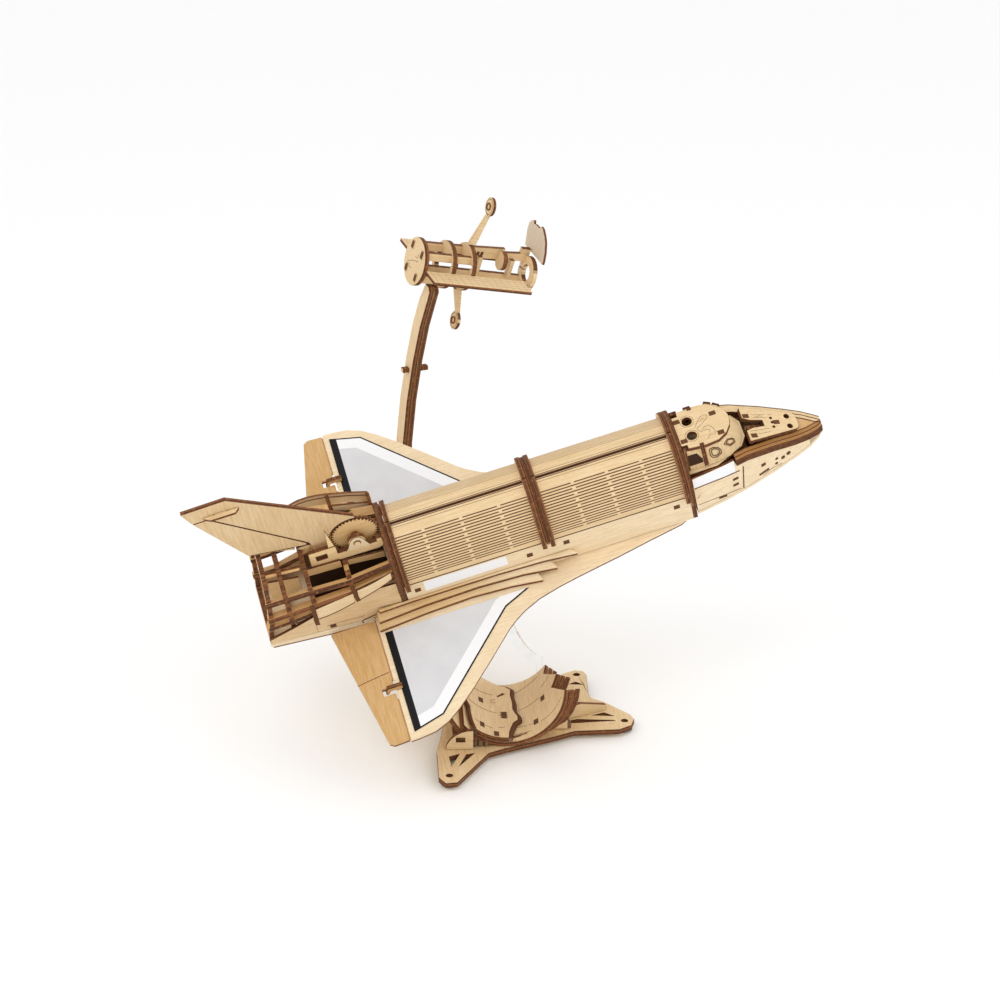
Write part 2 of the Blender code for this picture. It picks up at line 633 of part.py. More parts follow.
def globe_arc(radius, start, end, steps):
    """Points on a circle round the globe's axis, angles from its lowest line."""
    return arc(GLOBE_CENTRE, radius, start - 90.0, end - 90.0, steps)


def globe_rib(outline, along):
    """Upright plate across the globe's axis, its near face at the given distance."""
    return sheet([outline], SHEET, globe_place() @ side(along + SHEET))


def globe(parent, wood):
    """Planet fragment: bent sheets one on another, with a jagged coast and saw-toothed ends."""
    teeth = list(GLOBE_TEETH)
    shell = [(-50.0, 30.0), (-50.0, -51.0)] + teeth
    node("globe_shell", bent(shell, GLOBE_FACE, SHEET), wood, parent)
    land = list(GLOBE_COAST) + list(GLOBE_ARCH)
    node("globe_land", bent(land, GLOBE_FACE - SHEET - GAP, SHEET), wood, parent)
    edge = [(30.0, 30.0), (30.0, -40.0), (50.0, -47.0)] + teeth
    node("globe_edge_inner", bent(edge, GLOBE_FACE + 3.6, SHEET), wood, parent)
    edge = [(37.0, 30.0), (37.0, -32.0), (56.0, -43.0), (92.0, -50.0)] + teeth[1:]
    node("globe_edge_outer", bent(edge, GLOBE_FACE + 7.2, SHEET), wood, parent)
    edge = [(-78.0, 26.0), (-84.0, -20.0), (-80.0, -51.0), (-30.0, -51.0), (-30.0, 26.0)]
    node("globe_edge_left", bent(edge, GLOBE_FACE + 3.6, SHEET), wood, parent)


def globe_brackets(parent, wood):
    foot = BASE_TOP + GAP
    face = [(-49.1, foot), (-31.5, foot), (-31.5, 20.3), (-35.5, 19.9), (-39.5, 18.7), (-43.2, 16.6), (-46.3, 13.6),
            (-48.4, 10.4)]
    window = rect(-42.6, 12.0, -36.6, 15.4)
    front = sheet([face, window], SHEET, globe_place() @ side(-51.6))
    curve = globe_arc(GLOBE_FACE + 6.9, -54.0, -27.0, 6)
    cradle = [(curve[0][0], foot), *curve, (curve[-1][0], foot)]
    beam = sheet([rect(-44.0, foot + 0.6, -41.0, foot + 5.0)], 66.0, globe_place() @ side(12.0))
    node("globe_bracket_left", fuse([front, globe_rib(cradle, -30.0), globe_rib(cradle, 8.0), beam]), wood, parent)
    low = globe_arc(GLOBE_FACE + 3.3, 14.0, 28.0, 3)
    middle = globe_arc(GLOBE_FACE + 6.9, 29.5, 35.5, 2)
    high = globe_arc(GLOBE_FACE + 10.5, 36.5, 60.0, 5)
    cradle = [(low[0][0], foot), *low, *middle, *high, (high[-1][0] + 0.4, foot)]
    beam = sheet([rect(24.0, foot + 0.6, 27.0, foot + 5.0)], 40.0, globe_place() @ side(12.0))
    node("globe_bracket_right", fuse([globe_rib(cradle, -28.0), globe_rib(cradle, 8.0), beam]), wood, parent)


def orbiter_arm(parent, clear):
    """Curved strip of clear sheet on a short foot, from the base plate up to the belly."""
    centre, radius = circle_through((0.0, 26.5), (30.0, 62.5), (39.0, 126.0))
    start = math.degrees(math.atan2(26.5 - centre[1], -centre[0])) - 3.0
    end = math.degrees(math.atan2(123.6 - centre[1], 39.0 - centre[0]))
    outer = arc(centre, radius + 3.5, start, end, 16)
    inner = arc(centre, radius - 3.5, start, end, 16)
    foot = [(-7.0, BASE_TOP + GAP), (outer[0][0], BASE_TOP + GAP)]
    along = Vector((-math.sqrt(0.5), -math.sqrt(0.5), 0.0))
    normal = Vector((along.y, -along.x, 0.0))
    place = Matrix.Identity(4)
    place.col[0] = (*along, 0.0)
    place.col[1] = (0.0, 0.0, 1.0, 0.0)
    place.col[2] = (*normal, 0.0)
    place.col[3] = (18.6, 31.6, 0.0, 1.0)
    node("orbiter_arm", sheet([outer + inner[::-1] + foot], SHEET, place), clear, parent)


def circle_through(p, q, r):
    """Centre and radius of the circle through three points."""
    ax, ay = p
    bx, by = q
    cx, cy = r
    d = 2 * (ax * (by - cy) + bx * (cy - ay) + cx * (ay - by))
    ux = ((ax**2 + ay**2) * (by - cy) + (bx**2 + by**2) * (cy - ay) + (cx**2 + cy**2) * (ay - by)) / d
    uy = ((ax**2 + ay**2) * (cx - bx) + (bx**2 + by**2) * (ax - cx) + (cx**2 + cy**2) * (bx - ax)) / d
    return (ux, uy), math.hypot(ax - ux, ay - uy)


# Satellite

def satellite_arm(parent, wood):
    """Two curved plates side by side, cut off under the satellite's near rail."""
    along = Vector((-0.248, 0.969, 0.0)).normalized()
    normal = Vector((along.y, -along.x, 0.0))
    place = Matrix.Identity(4)
    place.col[0] = (*along, 0.0)
    place.col[1] = (0.0, 0.0, 1.0, 0.0)
    place.col[2] = (*normal, 0.0)
    place.col[3] = (*ARM_FOOT, 0.0, 1.0)
    pieces = []
    for shift, seat in ARM_PLATES:
        back = [(swing + ARM_HALF, height) for swing, height in ARM_LINE]
        front = [(swing - ARM_HALF, height) for swing, height in ARM_LINE]
        head = [(-50.6, seat - 3.4), (-49.4, seat - 0.6), (-44.0, seat + 0.2), (-41.6, seat - 3.0)]
        pieces.append(sheet([front + head + back[::-1]], SHEET, place @ Matrix.Translation((0, 0, shift))))
    for middle, height, low, high in ARM_PINS:
        tab = rect(middle - 2.0, height - SHEET / 2, middle + 2.0, height + SHEET / 2)
        pieces.append(sheet([tab], high - low, place @ Matrix.Translation((0, 0, low))))
    node("satellite_arm", fuse(pieces), wood, parent)


def satellite(parent, wood):
    pieces = []
    for x, radius in ((-1.5, 15.5), (18.5, 15.5), (32.5, 15.5)):
        pieces.append(sheet([circle((0.0, 0.0), radius, 32)], SHEET, cross(x)))
    pieces.append(sheet([circle((0.0, 0.0), 6.5, 20)], SHEET, cross(58.5)))
    pieces.append(sheet([circle((0.0, 0.0), 11.2, 32), circle((0.0, 0.0), 5.5, 20)], SHEET, cross(78.6)))
    for y in (-8.0, 8.0):
        for z in (-8.0, 8.0):
            rail = rect(-2.0, z - 2.6, 81.1, z + 2.6)
            pieces.append(sheet([rail], SHEET, side(y + 1.5)))
    pieces.append(sheet([rect(-7.3, -7.1, 7.3, 7.1)], SHEET, cross(59.7)))
    node("satellite_frame", fuse(pieces), wood, parent)
    for label, sign in SIDES:
        outline = flip(rect(0.5, 15.8, 70.0, 31.5), sign)
        node("solar_panel_" + label, sheet([outline], 2.0, plan(-1.0)), wood, parent)
    for label, sign, high in (("upper", 1, 43.0), ("lower", -1, 38.5)):
        strip = [(31.5, 15.9), (37.0, 15.9), (41.0, high - 5.0), (38.2, high - 5.0)]
        bar = sheet([[(x, sign * z) for x, z in strip]], 2.0, side(1.0))
        dish = sheet([circle((0.0, sign * high), 6.0, 24)], 2.0, cross(38.6))
        node("dish_" + label, fuse([bar, dish]), wood, parent)
    half = [(-8.4, 12.0), (10.8, 12.0), (12.7, 17.0), (12.2, 24.0), (9.6, 30.0), (5.0, 34.2), (-2.6, 34.2),
            (-7.2, 30.0), (-9.8, 24.0), (-10.3, 17.0)]
    node("aperture_door", sheet([half], SHEET, cross(81.9)), wood, parent, origin=(83.4, 0.0, 12.0))


def main():
    clear_scene()
    wood = material("birch_plywood", (0.80, 0.62, 0.40), 0.62)
    film = material("grey_film", (0.74, 0.74, 0.75), 0.5)
    clear = material("clear_acrylic", (0.95, 0.96, 0.97), 0.08, alpha=0.25)
    rubber = material("clear_rubber", (0.9, 0.88, 0.86), 0.3, alpha=0.5)
    display = pose("display_pose", DISPLAY_SHIFT, (0.0, 0.0, 0.0))
    orbiter = pose("orbiter_pose", ORBITER_PLACE, ORBITER_TURN, display)
    wings(orbiter, wood, film)
    root_steps(orbiter, wood)
    elevons(orbiter, wood)
    belly(orbiter, wood)
    bay_sides(orbiter, wood)
    bulkheads(orbiter, wood)
    doors(orbiter, wood)
    aft_cage(orbiter, wood)
    aft_sides(orbiter, wood)
    fin(orbiter, wood)
    rudder(orbiter, wood)
    wheel(orbiter, wood)
    wheel_mount(orbiter, wood)
    nose_sides(orbiter, wood)
    nose_rails(orbiter, wood)
    nose_floor(orbiter, wood)
    nose_deck(orbiter, wood)
    nose_cage(orbiter, wood)
    cabin(orbiter, wood)
    stand_base(display, wood, rubber)
    stand_rib(display, wood)
    globe(display, wood)
    globe_brackets(display, wood)
    orbiter_arm(display, clear)
    satellite_arm(display, wood)
    telescope = pose("satellite_pose", SATELLITE_PLACE, SATELLITE_TURN, display)
    satellite(telescope, wood)


if __name__ == "__main__":
    main()
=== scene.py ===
# Laser-cut plywood model of a space shuttle orbiter on its display stand.
# The scene is in metres and the tables are in millimetres. In the frame of the
# orbiter x runs to its nose, y to its left wing and z up.

import math

import bpy
from mathutils import Euler, Matrix, Vector
from mathutils.bvhtree import BVHTree


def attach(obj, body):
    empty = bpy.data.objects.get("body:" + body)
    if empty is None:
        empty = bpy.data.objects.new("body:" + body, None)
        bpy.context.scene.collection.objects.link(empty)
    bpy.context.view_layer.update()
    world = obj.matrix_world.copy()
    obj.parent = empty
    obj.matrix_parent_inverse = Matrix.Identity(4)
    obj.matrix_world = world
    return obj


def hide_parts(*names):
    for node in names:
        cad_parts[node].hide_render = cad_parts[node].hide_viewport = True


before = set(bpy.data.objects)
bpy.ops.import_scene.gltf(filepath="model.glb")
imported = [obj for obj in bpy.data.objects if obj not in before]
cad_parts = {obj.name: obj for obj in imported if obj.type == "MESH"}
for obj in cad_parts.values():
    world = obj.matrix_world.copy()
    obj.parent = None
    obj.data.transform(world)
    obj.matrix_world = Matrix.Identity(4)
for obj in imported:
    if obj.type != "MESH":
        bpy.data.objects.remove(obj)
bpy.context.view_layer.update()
bpy.ops.object.select_all(action="DESELECT")
MM = 0.001


# Base plate of the stand
# One flat sheet of birch plywood with notches for the uprights. The laser leaves
# its edges burnt brown, and the veneer on top keeps its pale fine grain.

def wire(tree, source, target):
    """Joins an output to an input, or gives the input a plain value."""
    if isinstance(source, bpy.types.NodeSocket):
        tree.links.new(source, target)
    else:
        target.default_value = source


def add_node(tree, kind, terms, **settings):
    """A node with its first inputs filled in turn."""
    step = tree.nodes.new("ShaderNode" + kind)
    for setting, value in settings.items():
        setattr(step, setting, value)
    for socket, term in zip(step.inputs, terms):
        wire(tree, term, socket)
    return step


def calc(tree, operation, *terms):
    return add_node(tree, "Math", terms, operation=operation).outputs[0]


def times(tree, *terms):
    product = terms[0]
    for term in terms[1:]:
        product = calc(tree, "MULTIPLY", product, term)
    return product


def rest_of(tree, share):
    return calc(tree, "SUBTRACT", 1.0, share)


def aim(tree, operation, *terms):
    step = add_node(tree, "VectorMath", terms, operation=operation)
    return step.outputs["Value" if operation in ("DOT_PRODUCT", "LENGTH") else "Vector"]


def fade(tree, value, low, high, out_low=0.0, out_high=1.0):
    terms = (value, low, high, out_low, out_high)
    return add_node(tree, "MapRange", terms, interpolation_type="SMOOTHSTEP").outputs[0]


def tint_mix(tree, share, first, second):
    step = add_node(tree, "Mix", (share,), data_type="RGBA")
    wire(tree, first, step.inputs[6])
    wire(tree, second, step.inputs[7])
    return step.outputs[2]


def speckle(tree, place, scale, detail=2.0, roughness=0.5):
    step = add_node(tree, "TexNoise", (place,))
    for socket, value in (("Scale", scale), ("Detail", detail), ("Roughness", roughness)):
        step.inputs[socket].default_value = value
    return step.outputs[0]


def begin_group(name, sockets_in, sockets_out):
    """Empty shader group with named sockets, given as name and kind."""
    tree = bpy.data.node_groups.new(name, "ShaderNodeTree")
    for way, sockets in (("INPUT", sockets_in), ("OUTPUT", sockets_out)):
        for label, kind in sockets:
            tree.interface.new_socket(name=label, in_out=way, socket_type="NodeSocket" + kind)
    return tree, tree.nodes.new("NodeGroupInput").outputs, tree.nodes.new("NodeGroupOutput").inputs


def laser_cut_group():
    """Pale veneer across the sheet, burnt plies round its edges, brown scored lines."""
    tree, given, put = begin_group(
        "laser_cut_birch",
        (("Place", "Vector"), ("Facing", "Vector"), ("Sheet", "Vector"), ("Grain", "Vector"),
         ("Veneer", "Color"), ("Scored", "Float")),
        (("Colour", "Color"), ("Roughness", "Float"), ("Height", "Float")))
    fibre_brown, pore_brown = (0.42, 0.22, 0.09, 1.0), (0.30, 0.14, 0.05, 1.0)
    dark_ply, light_ply = (0.075, 0.024, 0.008, 1.0), (0.215, 0.078, 0.024, 1.0)
    ash_brown, scored_brown = (0.38, 0.16, 0.055, 1.0), (0.115, 0.042, 0.013, 1.0)
    square_on = calc(tree, "ABSOLUTE", aim(tree, "DOT_PRODUCT", given["Facing"], given["Sheet"]))
    face = fade(tree, square_on, 0.80, 0.93)
    edge = rest_of(tree, face)

    along = aim(tree, "MULTIPLY", given["Place"], given["Grain"])
    streaks = speckle(tree, along, 1.0, 3.0, 0.6)
    fibres = speckle(tree, along, 4.5, 2.0, 0.6)
    clouds = speckle(tree, given["Place"], 28.0, 2.0)
    pores = fade(tree, speckle(tree, along, 9.0, 0.0), 0.70, 0.80)
    shaded = tree.nodes.new("ShaderNodeHueSaturation")
    wire(tree, given["Veneer"], shaded.inputs["Color"])
    shaded.inputs["Saturation"].default_value = 1.16
    shaded.inputs["Value"].default_value = 0.84
    wood = tint_mix(tree, fade(tree, streaks, 0.30, 0.74), given["Veneer"], shaded.outputs[0])
    for share, stain in ((times(tree, fade(tree, clouds, 0.42, 0.7), 0.45), shaded.outputs[0]),
                         (times(tree, fade(tree, fibres, 0.45, 0.8), 0.24), fibre_brown),
                         (times(tree, pores, 0.35), pore_brown)):
        wood = tint_mix(tree, share, wood, stain)

    plies_per_metre = 900.0
    depth = aim(tree, "DOT_PRODUCT", given["Place"], given["Sheet"])
    plies = tree.nodes.new("ShaderNodeTexNoise")
    plies.noise_dimensions = "1D"
    wire(tree, times(tree, depth, plies_per_metre), plies.inputs["W"])
    plies.inputs["Scale"].default_value = 1.0
    plies.inputs["Detail"].default_value = 1.0
    # fine specks of real soot on the burnt plies
    soot_and_painted_shade = speckle(tree, given["Place"], 420.0, 3.0, 0.65)
    burnt = tint_mix(tree, fade(tree, plies.outputs[0], 0.40, 0.62), dark_ply, light_ply)
    burnt = tint_mix(tree, times(tree, fade(tree, soot_and_painted_shade, 0.5, 0.72), 0.5), burnt, ash_brown)

    colour = tint_mix(tree, given["Scored"], tint_mix(tree, face, burnt, wood), scored_brown)
    wire(tree, colour, put["Colour"])
    rough_face = times(tree, fade(tree, fibres, 0.3, 0.7, 0.46, 0.60), face)
    rough_edge = times(tree, edge, 0.8)
    wire(tree, calc(tree, "ADD", rough_face, rough_edge), put["Roughness"])
    ripple = calc(tree, "ADD", times(tree, fibres, 0.5), times(tree, soot_and_painted_shade, edge))
    wire(tree, calc(tree, "SUBTRACT", ripple, times(tree, given["Scored"], 1.5)), put["Height"])
    return tree


LASER_CUT = laser_cut_group()
STAND_POSE = ((13.769 * MM, -1.139 * MM, 0.0), (0.0, 0.0, 0.0))
PALE = (0.80, 0.60, 0.36, 1.0)
# the grain's scale along the three axes, coarse along its fibres
ALONG_X = (55.0, 800.0, 800.0)
ALONG_Y = (800.0, 55.0, 800.0)
ALONG_Z = (800.0, 800.0, 55.0)
AXIS_X, AXIS_Y, AXIS_Z = (1.0, 0.0, 0.0), (0.0, 1.0, 0.0), (0.0, 0.0, 1.0)
# a sheet is named after the way that its face looks
FLAT, UPRIGHT, ACROSS = AXIS_Z, AXIS_Y, AXIS_X


def local(tree, output, pose, turn_only=False):
    """A coordinate seen from the frame that the sheets of a group are drawn in."""
    seen = tree.nodes.new("ShaderNodeMapping")
    seen.vector_type = "TEXTURE"
    tree.links.new(output, seen.inputs["Vector"])
    if not turn_only:
        seen.inputs["Location"].default_value = pose[0]
    seen.inputs["Rotation"].default_value = pose[1]
    return seen.outputs[0]


def begin_material(name):
    """New material with its tree, its shader and the coordinates that it can use."""
    mat = bpy.data.materials.new(name)
    mat.use_nodes = True
    tree = mat.node_tree
    return mat, tree, tree.nodes["Principled BSDF"], tree.nodes.new("ShaderNodeTexCoord").outputs


def coat(tree, shader, colour, roughness, height, strength, distance):
    """Colour, roughness and bump of a material."""
    bump = tree.nodes.new("ShaderNodeBump")
    for source, target in ((colour, shader.inputs["Base Color"]), (roughness, shader.inputs["Roughness"]),
                           (strength, bump.inputs["Strength"]), (distance, bump.inputs["Distance"]),
                           (height, bump.inputs["Height"]), (bump.outputs[0], shader.inputs["Normal"])):
        wire(tree, source, target)


def begin_birch(name, pose, veneer, grain):
    """Material with the plywood group in it, its sheet direction still open."""
    mat, tree, shader, spot = begin_material(name)
    ply = tree.nodes.new("ShaderNodeGroup")
    ply.node_tree = LASER_CUT
    place = local(tree, spot["Object"], pose)
    facing = local(tree, spot["Normal"], pose, True)
    for label, value in (("Place", place), ("Facing", facing), ("Grain", grain), ("Veneer", veneer)):
        wire(tree, value, ply.inputs[label])
    shader.inputs["Specular IOR Level"].default_value = 0.32
    coat(tree, shader, *ply.outputs, 0.35, 0.12 * MM)
    return mat, tree, ply, place, facing


def birch(name, pose, sheet, grain, veneer=PALE, scored=0.0):
    mat, _, ply, _, _ = begin_birch(name, pose, veneer, grain)
    ply.inputs["Sheet"].default_value = sheet
    ply.inputs["Scored"].default_value = scored
    return mat


def dress(names, mat, easing=0.22):
    """Gives CAD sheets their plywood, and eases their edges as a fine cut does."""
    for name in names.split():
        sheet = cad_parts[name]
        for holder in sheet.material_slots:
            holder.material = mat
        if easing:
            weld = sheet.modifiers.new("weld", "WELD")
            weld.merge_threshold = 0.002 * MM
            ease = sheet.modifiers.new("ease", "BEVEL")
            ease.width = easing * MM
            ease.segments = 1
            ease.limit_method = "ANGLE"
            ease.angle_limit = math.radians(40.0)
            part_faces = sheet.modifiers.new("part_faces", "EDGE_SPLIT")
            part_faces.split_angle = math.radians(30.0)


dress("stand_base", birch("birch_base", STAND_POSE, FLAT, ALONG_Y))


# Globe fragment
# Two bent sheets, the sea and the land on it, between cut ribs with saw-toothed
# ends. Each is kerf-bent and slotted into brackets that stand on the base plate.

GLOBE_POSE = (STAND_POSE[0], (0.0, 0.0, math.radians(-5.2)))
GLOBE_AXIS = (-9.4 * MM, 0.0, 46.2 * MM)


def bent_birch(name, pose, axis, across, veneer, grain):
    """Plywood bent round an axis: its face points away from that line."""
    mat, tree, ply, place, _ = begin_birch(name, pose, veneer, grain)
    from_axis = aim(tree, "SUBTRACT", place, axis)
    away = aim(tree, "MULTIPLY", from_axis, across)
    tree.links.new(from_axis, ply.inputs["Place"])
    tree.links.new(aim(tree, "NORMALIZE", away), ply.inputs["Sheet"])
    return mat, tree, ply, place, away


sea = bent_birch("birch_globe", GLOBE_POSE, GLOBE_AXIS, (1.0, 0.0, 1.0), PALE, ALONG_Y)[0]
dress("globe_shell globe_land globe_edge_inner globe_edge_outer globe_edge_left", sea)
dress("globe_bracket_left globe_bracket_right", birch("birch_bracket", GLOBE_POSE, UPRIGHT, ALONG_X))
rib_pose = (STAND_POSE[0], (0.0, 0.0, math.atan2(8.8, 22.9)))
dress("stand_rib", birch("birch_rib", rib_pose, UPRIGHT, ALONG_X))


# Feet and clear arm
# Soft clear pads are pressed into holes of the base plate. The arm that carries
# the orbiter is a strip of clear cast sheet with polished edges.

def clear_sheet(name, colour, roughness, through):
    mat, tree, shader, spot = begin_material(name)
    marks = speckle(tree, spot["Object"], 160.0, 3.0)
    handled = (0.90, 0.93, 0.94, 1.0)
    wire(tree, fade(tree, marks, 0.45, 0.8, roughness, roughness + 0.06), shader.inputs["Roughness"])
    wire(tree, tint_mix(tree, fade(tree, marks, 0.3, 0.8), colour, handled), shader.inputs["Base Color"])
    # a low index, because the strip hardly shows against the pale studio
    shader.inputs["IOR"].default_value = 1.07
    shader.inputs["Transmission Weight"].default_value = through
    return mat


dress("orbiter_arm", clear_sheet("clear_acrylic_sheet", (0.995, 0.998, 1.0, 1.0), 0.0, 1.0), 0.3)
dress("stand_foot_1 stand_foot_2 stand_foot_3 stand_foot_4",
      clear_sheet("clear_rubber_pad", (0.93, 0.92, 0.88, 1.0), 0.25, 0.75), 0.5)


# Satellite and its arm
# A small space telescope of slotted plywood discs and rails, held up behind the
# orbiter by two curved plates glued side by side.

SATELLITE_POSE = ((-46.931 * MM, 57.061 * MM, 302.3 * MM), tuple(math.radians(a) for a in (8.9, 13.3, 15.9)))
arm_pose = (STAND_POSE[0], (0.0, 0.0, math.atan2(0.969, -0.248)))
dress("satellite_arm", birch("birch_arm", arm_pose, UPRIGHT, ALONG_Z))
# painted shade: a greyer veneer than the rest stands for the shade on the lid
lid_birch = birch("birch_disc", SATELLITE_POSE, ACROSS, ALONG_Z, (0.72, 0.60, 0.46, 1.0))
dress("aperture_door", lid_birch)


def split(tree, place):
    return add_node(tree, "SeparateXYZ", (place,)).outputs


def two_ways(tree, ply, share, first, second):
    """One node with sheets that lie two ways: the share of the second is 0 or 1."""
    either = tree.nodes.new("ShaderNodeMix")
    either.data_type = "VECTOR"
    for socket, term in ((0, share), (4, first), (5, second)):
        wire(tree, term, either.inputs[socket])
    tree.links.new(either.outputs[1], ply.inputs["Sheet"])


def cross_share(tree, facing):
    """1 on faces that look along the body, 0 on the rest."""
    return calc(tree, "GREATER_THAN", calc(tree, "ABSOLUTE", split(tree, facing)[0]), 0.55)


def satellite_birch(name, bar_reach):
    """Discs lie across the telescope, rails and struts along it."""
    mat, tree, ply, place, facing = begin_birch(name, SATELLITE_POSE, PALE, ALONG_X)
    away = aim(tree, "LENGTH", aim(tree, "MULTIPLY", place, (0.0, 1.0, 1.0)))
    rim = calc(tree, "GREATER_THAN", away, bar_reach)
    two_ways(tree, ply, calc(tree, "MAXIMUM", rim, cross_share(tree, facing)), UPRIGHT, ACROSS)
    return mat


dress("satellite_frame", satellite_birch("birch_telescope", 15.0 * MM))
dress("solar_panel_left solar_panel_right", birch("birch_panel", SATELLITE_POSE, FLAT, ALONG_X))
dress("dish_upper dish_lower", satellite_birch("birch_dish", 38.0 * MM))


# Wings, elevons and belly
# Flat plywood sheets fixed under the fuselage. The elevons hang on hooks behind
# the wings and are cut from a darker golden sheet.

ORBITER_POSE = ((-64.231 * MM, -1.139 * MM, 112.0 * MM), (math.radians(30.2), math.radians(-16.4), 0.0))
WHITISH = (0.90, 0.73, 0.50, 1.0)
GOLDEN = (0.66, 0.42, 0.20, 1.0)


def fine_edge_birch(name, veneer, grain, foot, aft_of=1000.0):
    """A flat sheet whose cut edge is burnt only below a height, as a tapered cut leaves it."""
    mat, tree, ply, place, facing = begin_birch(name, ORBITER_POSE, veneer, grain)
    x, _, z = split(tree, place)
    clean = times(tree, calc(tree, "LESS_THAN", x, aft_of * MM), fade(tree, z, foot * MM, (foot + 0.2) * MM))
    two_ways(tree, ply, clean, FLAT, facing)
    return mat


dress("wing_left wing_right nose_floor", fine_edge_birch("birch_wing", WHITISH, ALONG_X, -1.7))
dress("belly_plate aft_floor", fine_edge_birch("birch_floor", WHITISH, ALONG_X, -5.0, -22.0))
golden_birch = fine_edge_birch("birch_golden", GOLDEN, ALONG_Y, -1.7)
dress("elevon_left elevon_right", golden_birch)


def step_birch():
    """Only the lower half of each strip's edge is burnt, and the tips are as pale as the wing."""
    mat, tree, ply, place, facing = begin_birch("birch_steps", ORBITER_POSE, GOLDEN, ALONG_X)
    x, _, z = split(tree, place)
    pale_edge = calc(tree, "GREATER_THAN", split(tree, facing)[0], 0.35)
    for low, high in ((2.3, 3.9), (5.8, 7.5), (9.2, 10.6)):
        above = fade(tree, z, low * MM, (low + 0.15) * MM)
        below = fade(tree, z, (high + 0.05) * MM, high * MM)
        pale_edge = calc(tree, "MAXIMUM", pale_edge, times(tree, above, below))
    two_ways(tree, ply, pale_edge, FLAT, facing)
    tips = fade(tree, x, 20.0 * MM, 80.0 * MM)
    wire(tree, tint_mix(tree, tips, (0.74, 0.52, 0.28, 1.0), WHITISH), ply.inputs["Veneer"])
    return mat


dress("wing_root_steps_left wing_root_steps_right", step_birch())
dress("elevon_hook_left elevon_hook_right", birch("birch_hook", ORBITER_POSE, UPRIGHT, ALONG_X, GOLDEN))


# Film on the wings
# A printed grey sheet stuck on each wing, with a white band along its leading
# edge, a thin black outline outside that and a black stripe along the rear.

def wing_film():
    mat, tree, shader, spot = begin_material("printed_wing_film")
    place = local(tree, spot["Object"], ORBITER_POSE)
    x, y, _ = split(tree, place)
    y = calc(tree, "ABSOLUTE", y)
    # the leading edge runs from the root through two corners to the tip
    corners = ((76.0, 41.8), (58.4, 50.4), (0.6, 112.6), (-20.0, 118.6))
    inward = []
    for (xa, ya), (xb, yb) in zip(corners, corners[1:]):
        length = math.hypot(xb - xa, yb - ya)
        nx, ny = (yb - ya) / length, -(xb - xa) / length
        reached = calc(tree, "ADD", times(tree, x, nx), times(tree, y, ny))
        inward.append(calc(tree, "SUBTRACT", (xa * nx + ya * ny) * MM, reached))
    reach = calc(tree, "MINIMUM", calc(tree, "MAXIMUM", inward[0], inward[1]), inward[2])
    grime = speckle(tree, place, 60.0, 3.0)
    grey = tint_mix(tree, fade(tree, grime, 0.3, 0.7), (0.63, 0.63, 0.64, 1.0), (0.67, 0.67, 0.68, 1.0))
    white, black = (0.86, 0.86, 0.87, 1.0), (0.003, 0.003, 0.004, 1.0)
    band = fade(tree, reach, 8.6 * MM, 8.4 * MM)
    outline = fade(tree, reach, 1.0 * MM, 0.9 * MM)
    stripe = fade(tree, x, -15.3 * MM, -15.5 * MM)
    colour = tint_mix(tree, calc(tree, "MAXIMUM", outline, stripe), tint_mix(tree, band, grey, white), black)
    roughness, grit = fade(tree, grime, 0.3, 0.8, 0.40, 0.54), speckle(tree, place, 900.0, 2.0)
    shader.inputs["Specular IOR Level"].default_value = 0.22
    coat(tree, shader, colour, roughness, grit, 0.15, 0.05 * MM)
    return mat


dress("wing_film_left wing_film_right", wing_film(), 0.0)


# Fuselage sides and bulkheads
# Upright plates of the palest veneer run along the bay, slotted between two round
# hoops that are cut across it. The aft sides come from a slightly darker sheet.

side_birch = birch("birch_side", ORBITER_POSE, UPRIGHT, ALONG_X, WHITISH)
cross_birch = birch("birch_cross", ORBITER_POSE, ACROSS, ALONG_Y)
dress("bay_side_left bay_side_right", side_birch)
aft_side_birch = birch("birch_aft_side", ORBITER_POSE, UPRIGHT, ALONG_X, (0.78, 0.57, 0.34, 1.0))
dress("aft_side_left aft_side_right", aft_side_birch)
dress("rear_bulkhead front_bulkhead", cross_birch)


# Tab ends and labels of the bay sides
# Each side plate is held by the ends of four tabs that show in their slots, burnt
# dark by the laser. A blank white label is stuck behind the wing root.

ORBITER = Matrix.LocRotScale(Vector(ORBITER_POSE[0]), Euler(ORBITER_POSE[1]), None)


def face_on(group, origin, along, up):
    """Place of a flat face: x along it, y up it and z out of it, from millimetres in its group."""
    u = Vector(along).normalized()
    out = u.cross(Vector(up)).normalized()
    turn = Matrix((u, out.cross(u), out)).transposed().to_4x4()
    return group @ Matrix.Translation(Vector(origin) * MM) @ turn


def pick_faces(piece, test):
    """Enters edit mode with only the faces selected that pass a test."""
    bpy.ops.object.mode_set(mode="EDIT")
    bpy.ops.mesh.select_mode(type="FACE")
    bpy.ops.mesh.select_all(action="DESELECT")
    bpy.ops.object.mode_set(mode="OBJECT")
    for face in piece.data.polygons:
        face.select = test(face)
    bpy.ops.object.mode_set(mode="EDIT")


def settle(piece, name, mat, body="display"):
    """Names a piece, gives it its finish and lets it ride on a body."""
    piece.name = name
    piece.data.materials.clear()
    piece.data.materials.append(mat)
    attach(piece, body)
    bpy.ops.object.select_all(action="DESELECT")


def tab_end(wide, high, proud=0.12):
    """A burnt tab end in its slot: a low block with a sunk, eased middle."""
    bpy.ops.mesh.primitive_cube_add(size=1.0)
    block = bpy.context.object
    block.scale = (wide * MM, high * MM, 2 * proud * MM)
    bpy.ops.object.transform_apply(location=False, rotation=False, scale=True)
    pick_faces(block, lambda face: face.normal.z > 0.9)
    bpy.ops.mesh.inset(thickness=0.2 * high * MM)
    bpy.ops.transform.translate(value=(0.0, 0.0, -0.5 * proud * MM))
    bpy.ops.mesh.inset(thickness=0.06 * high * MM)
    bpy.ops.object.mode_set(mode="OBJECT")
    return block


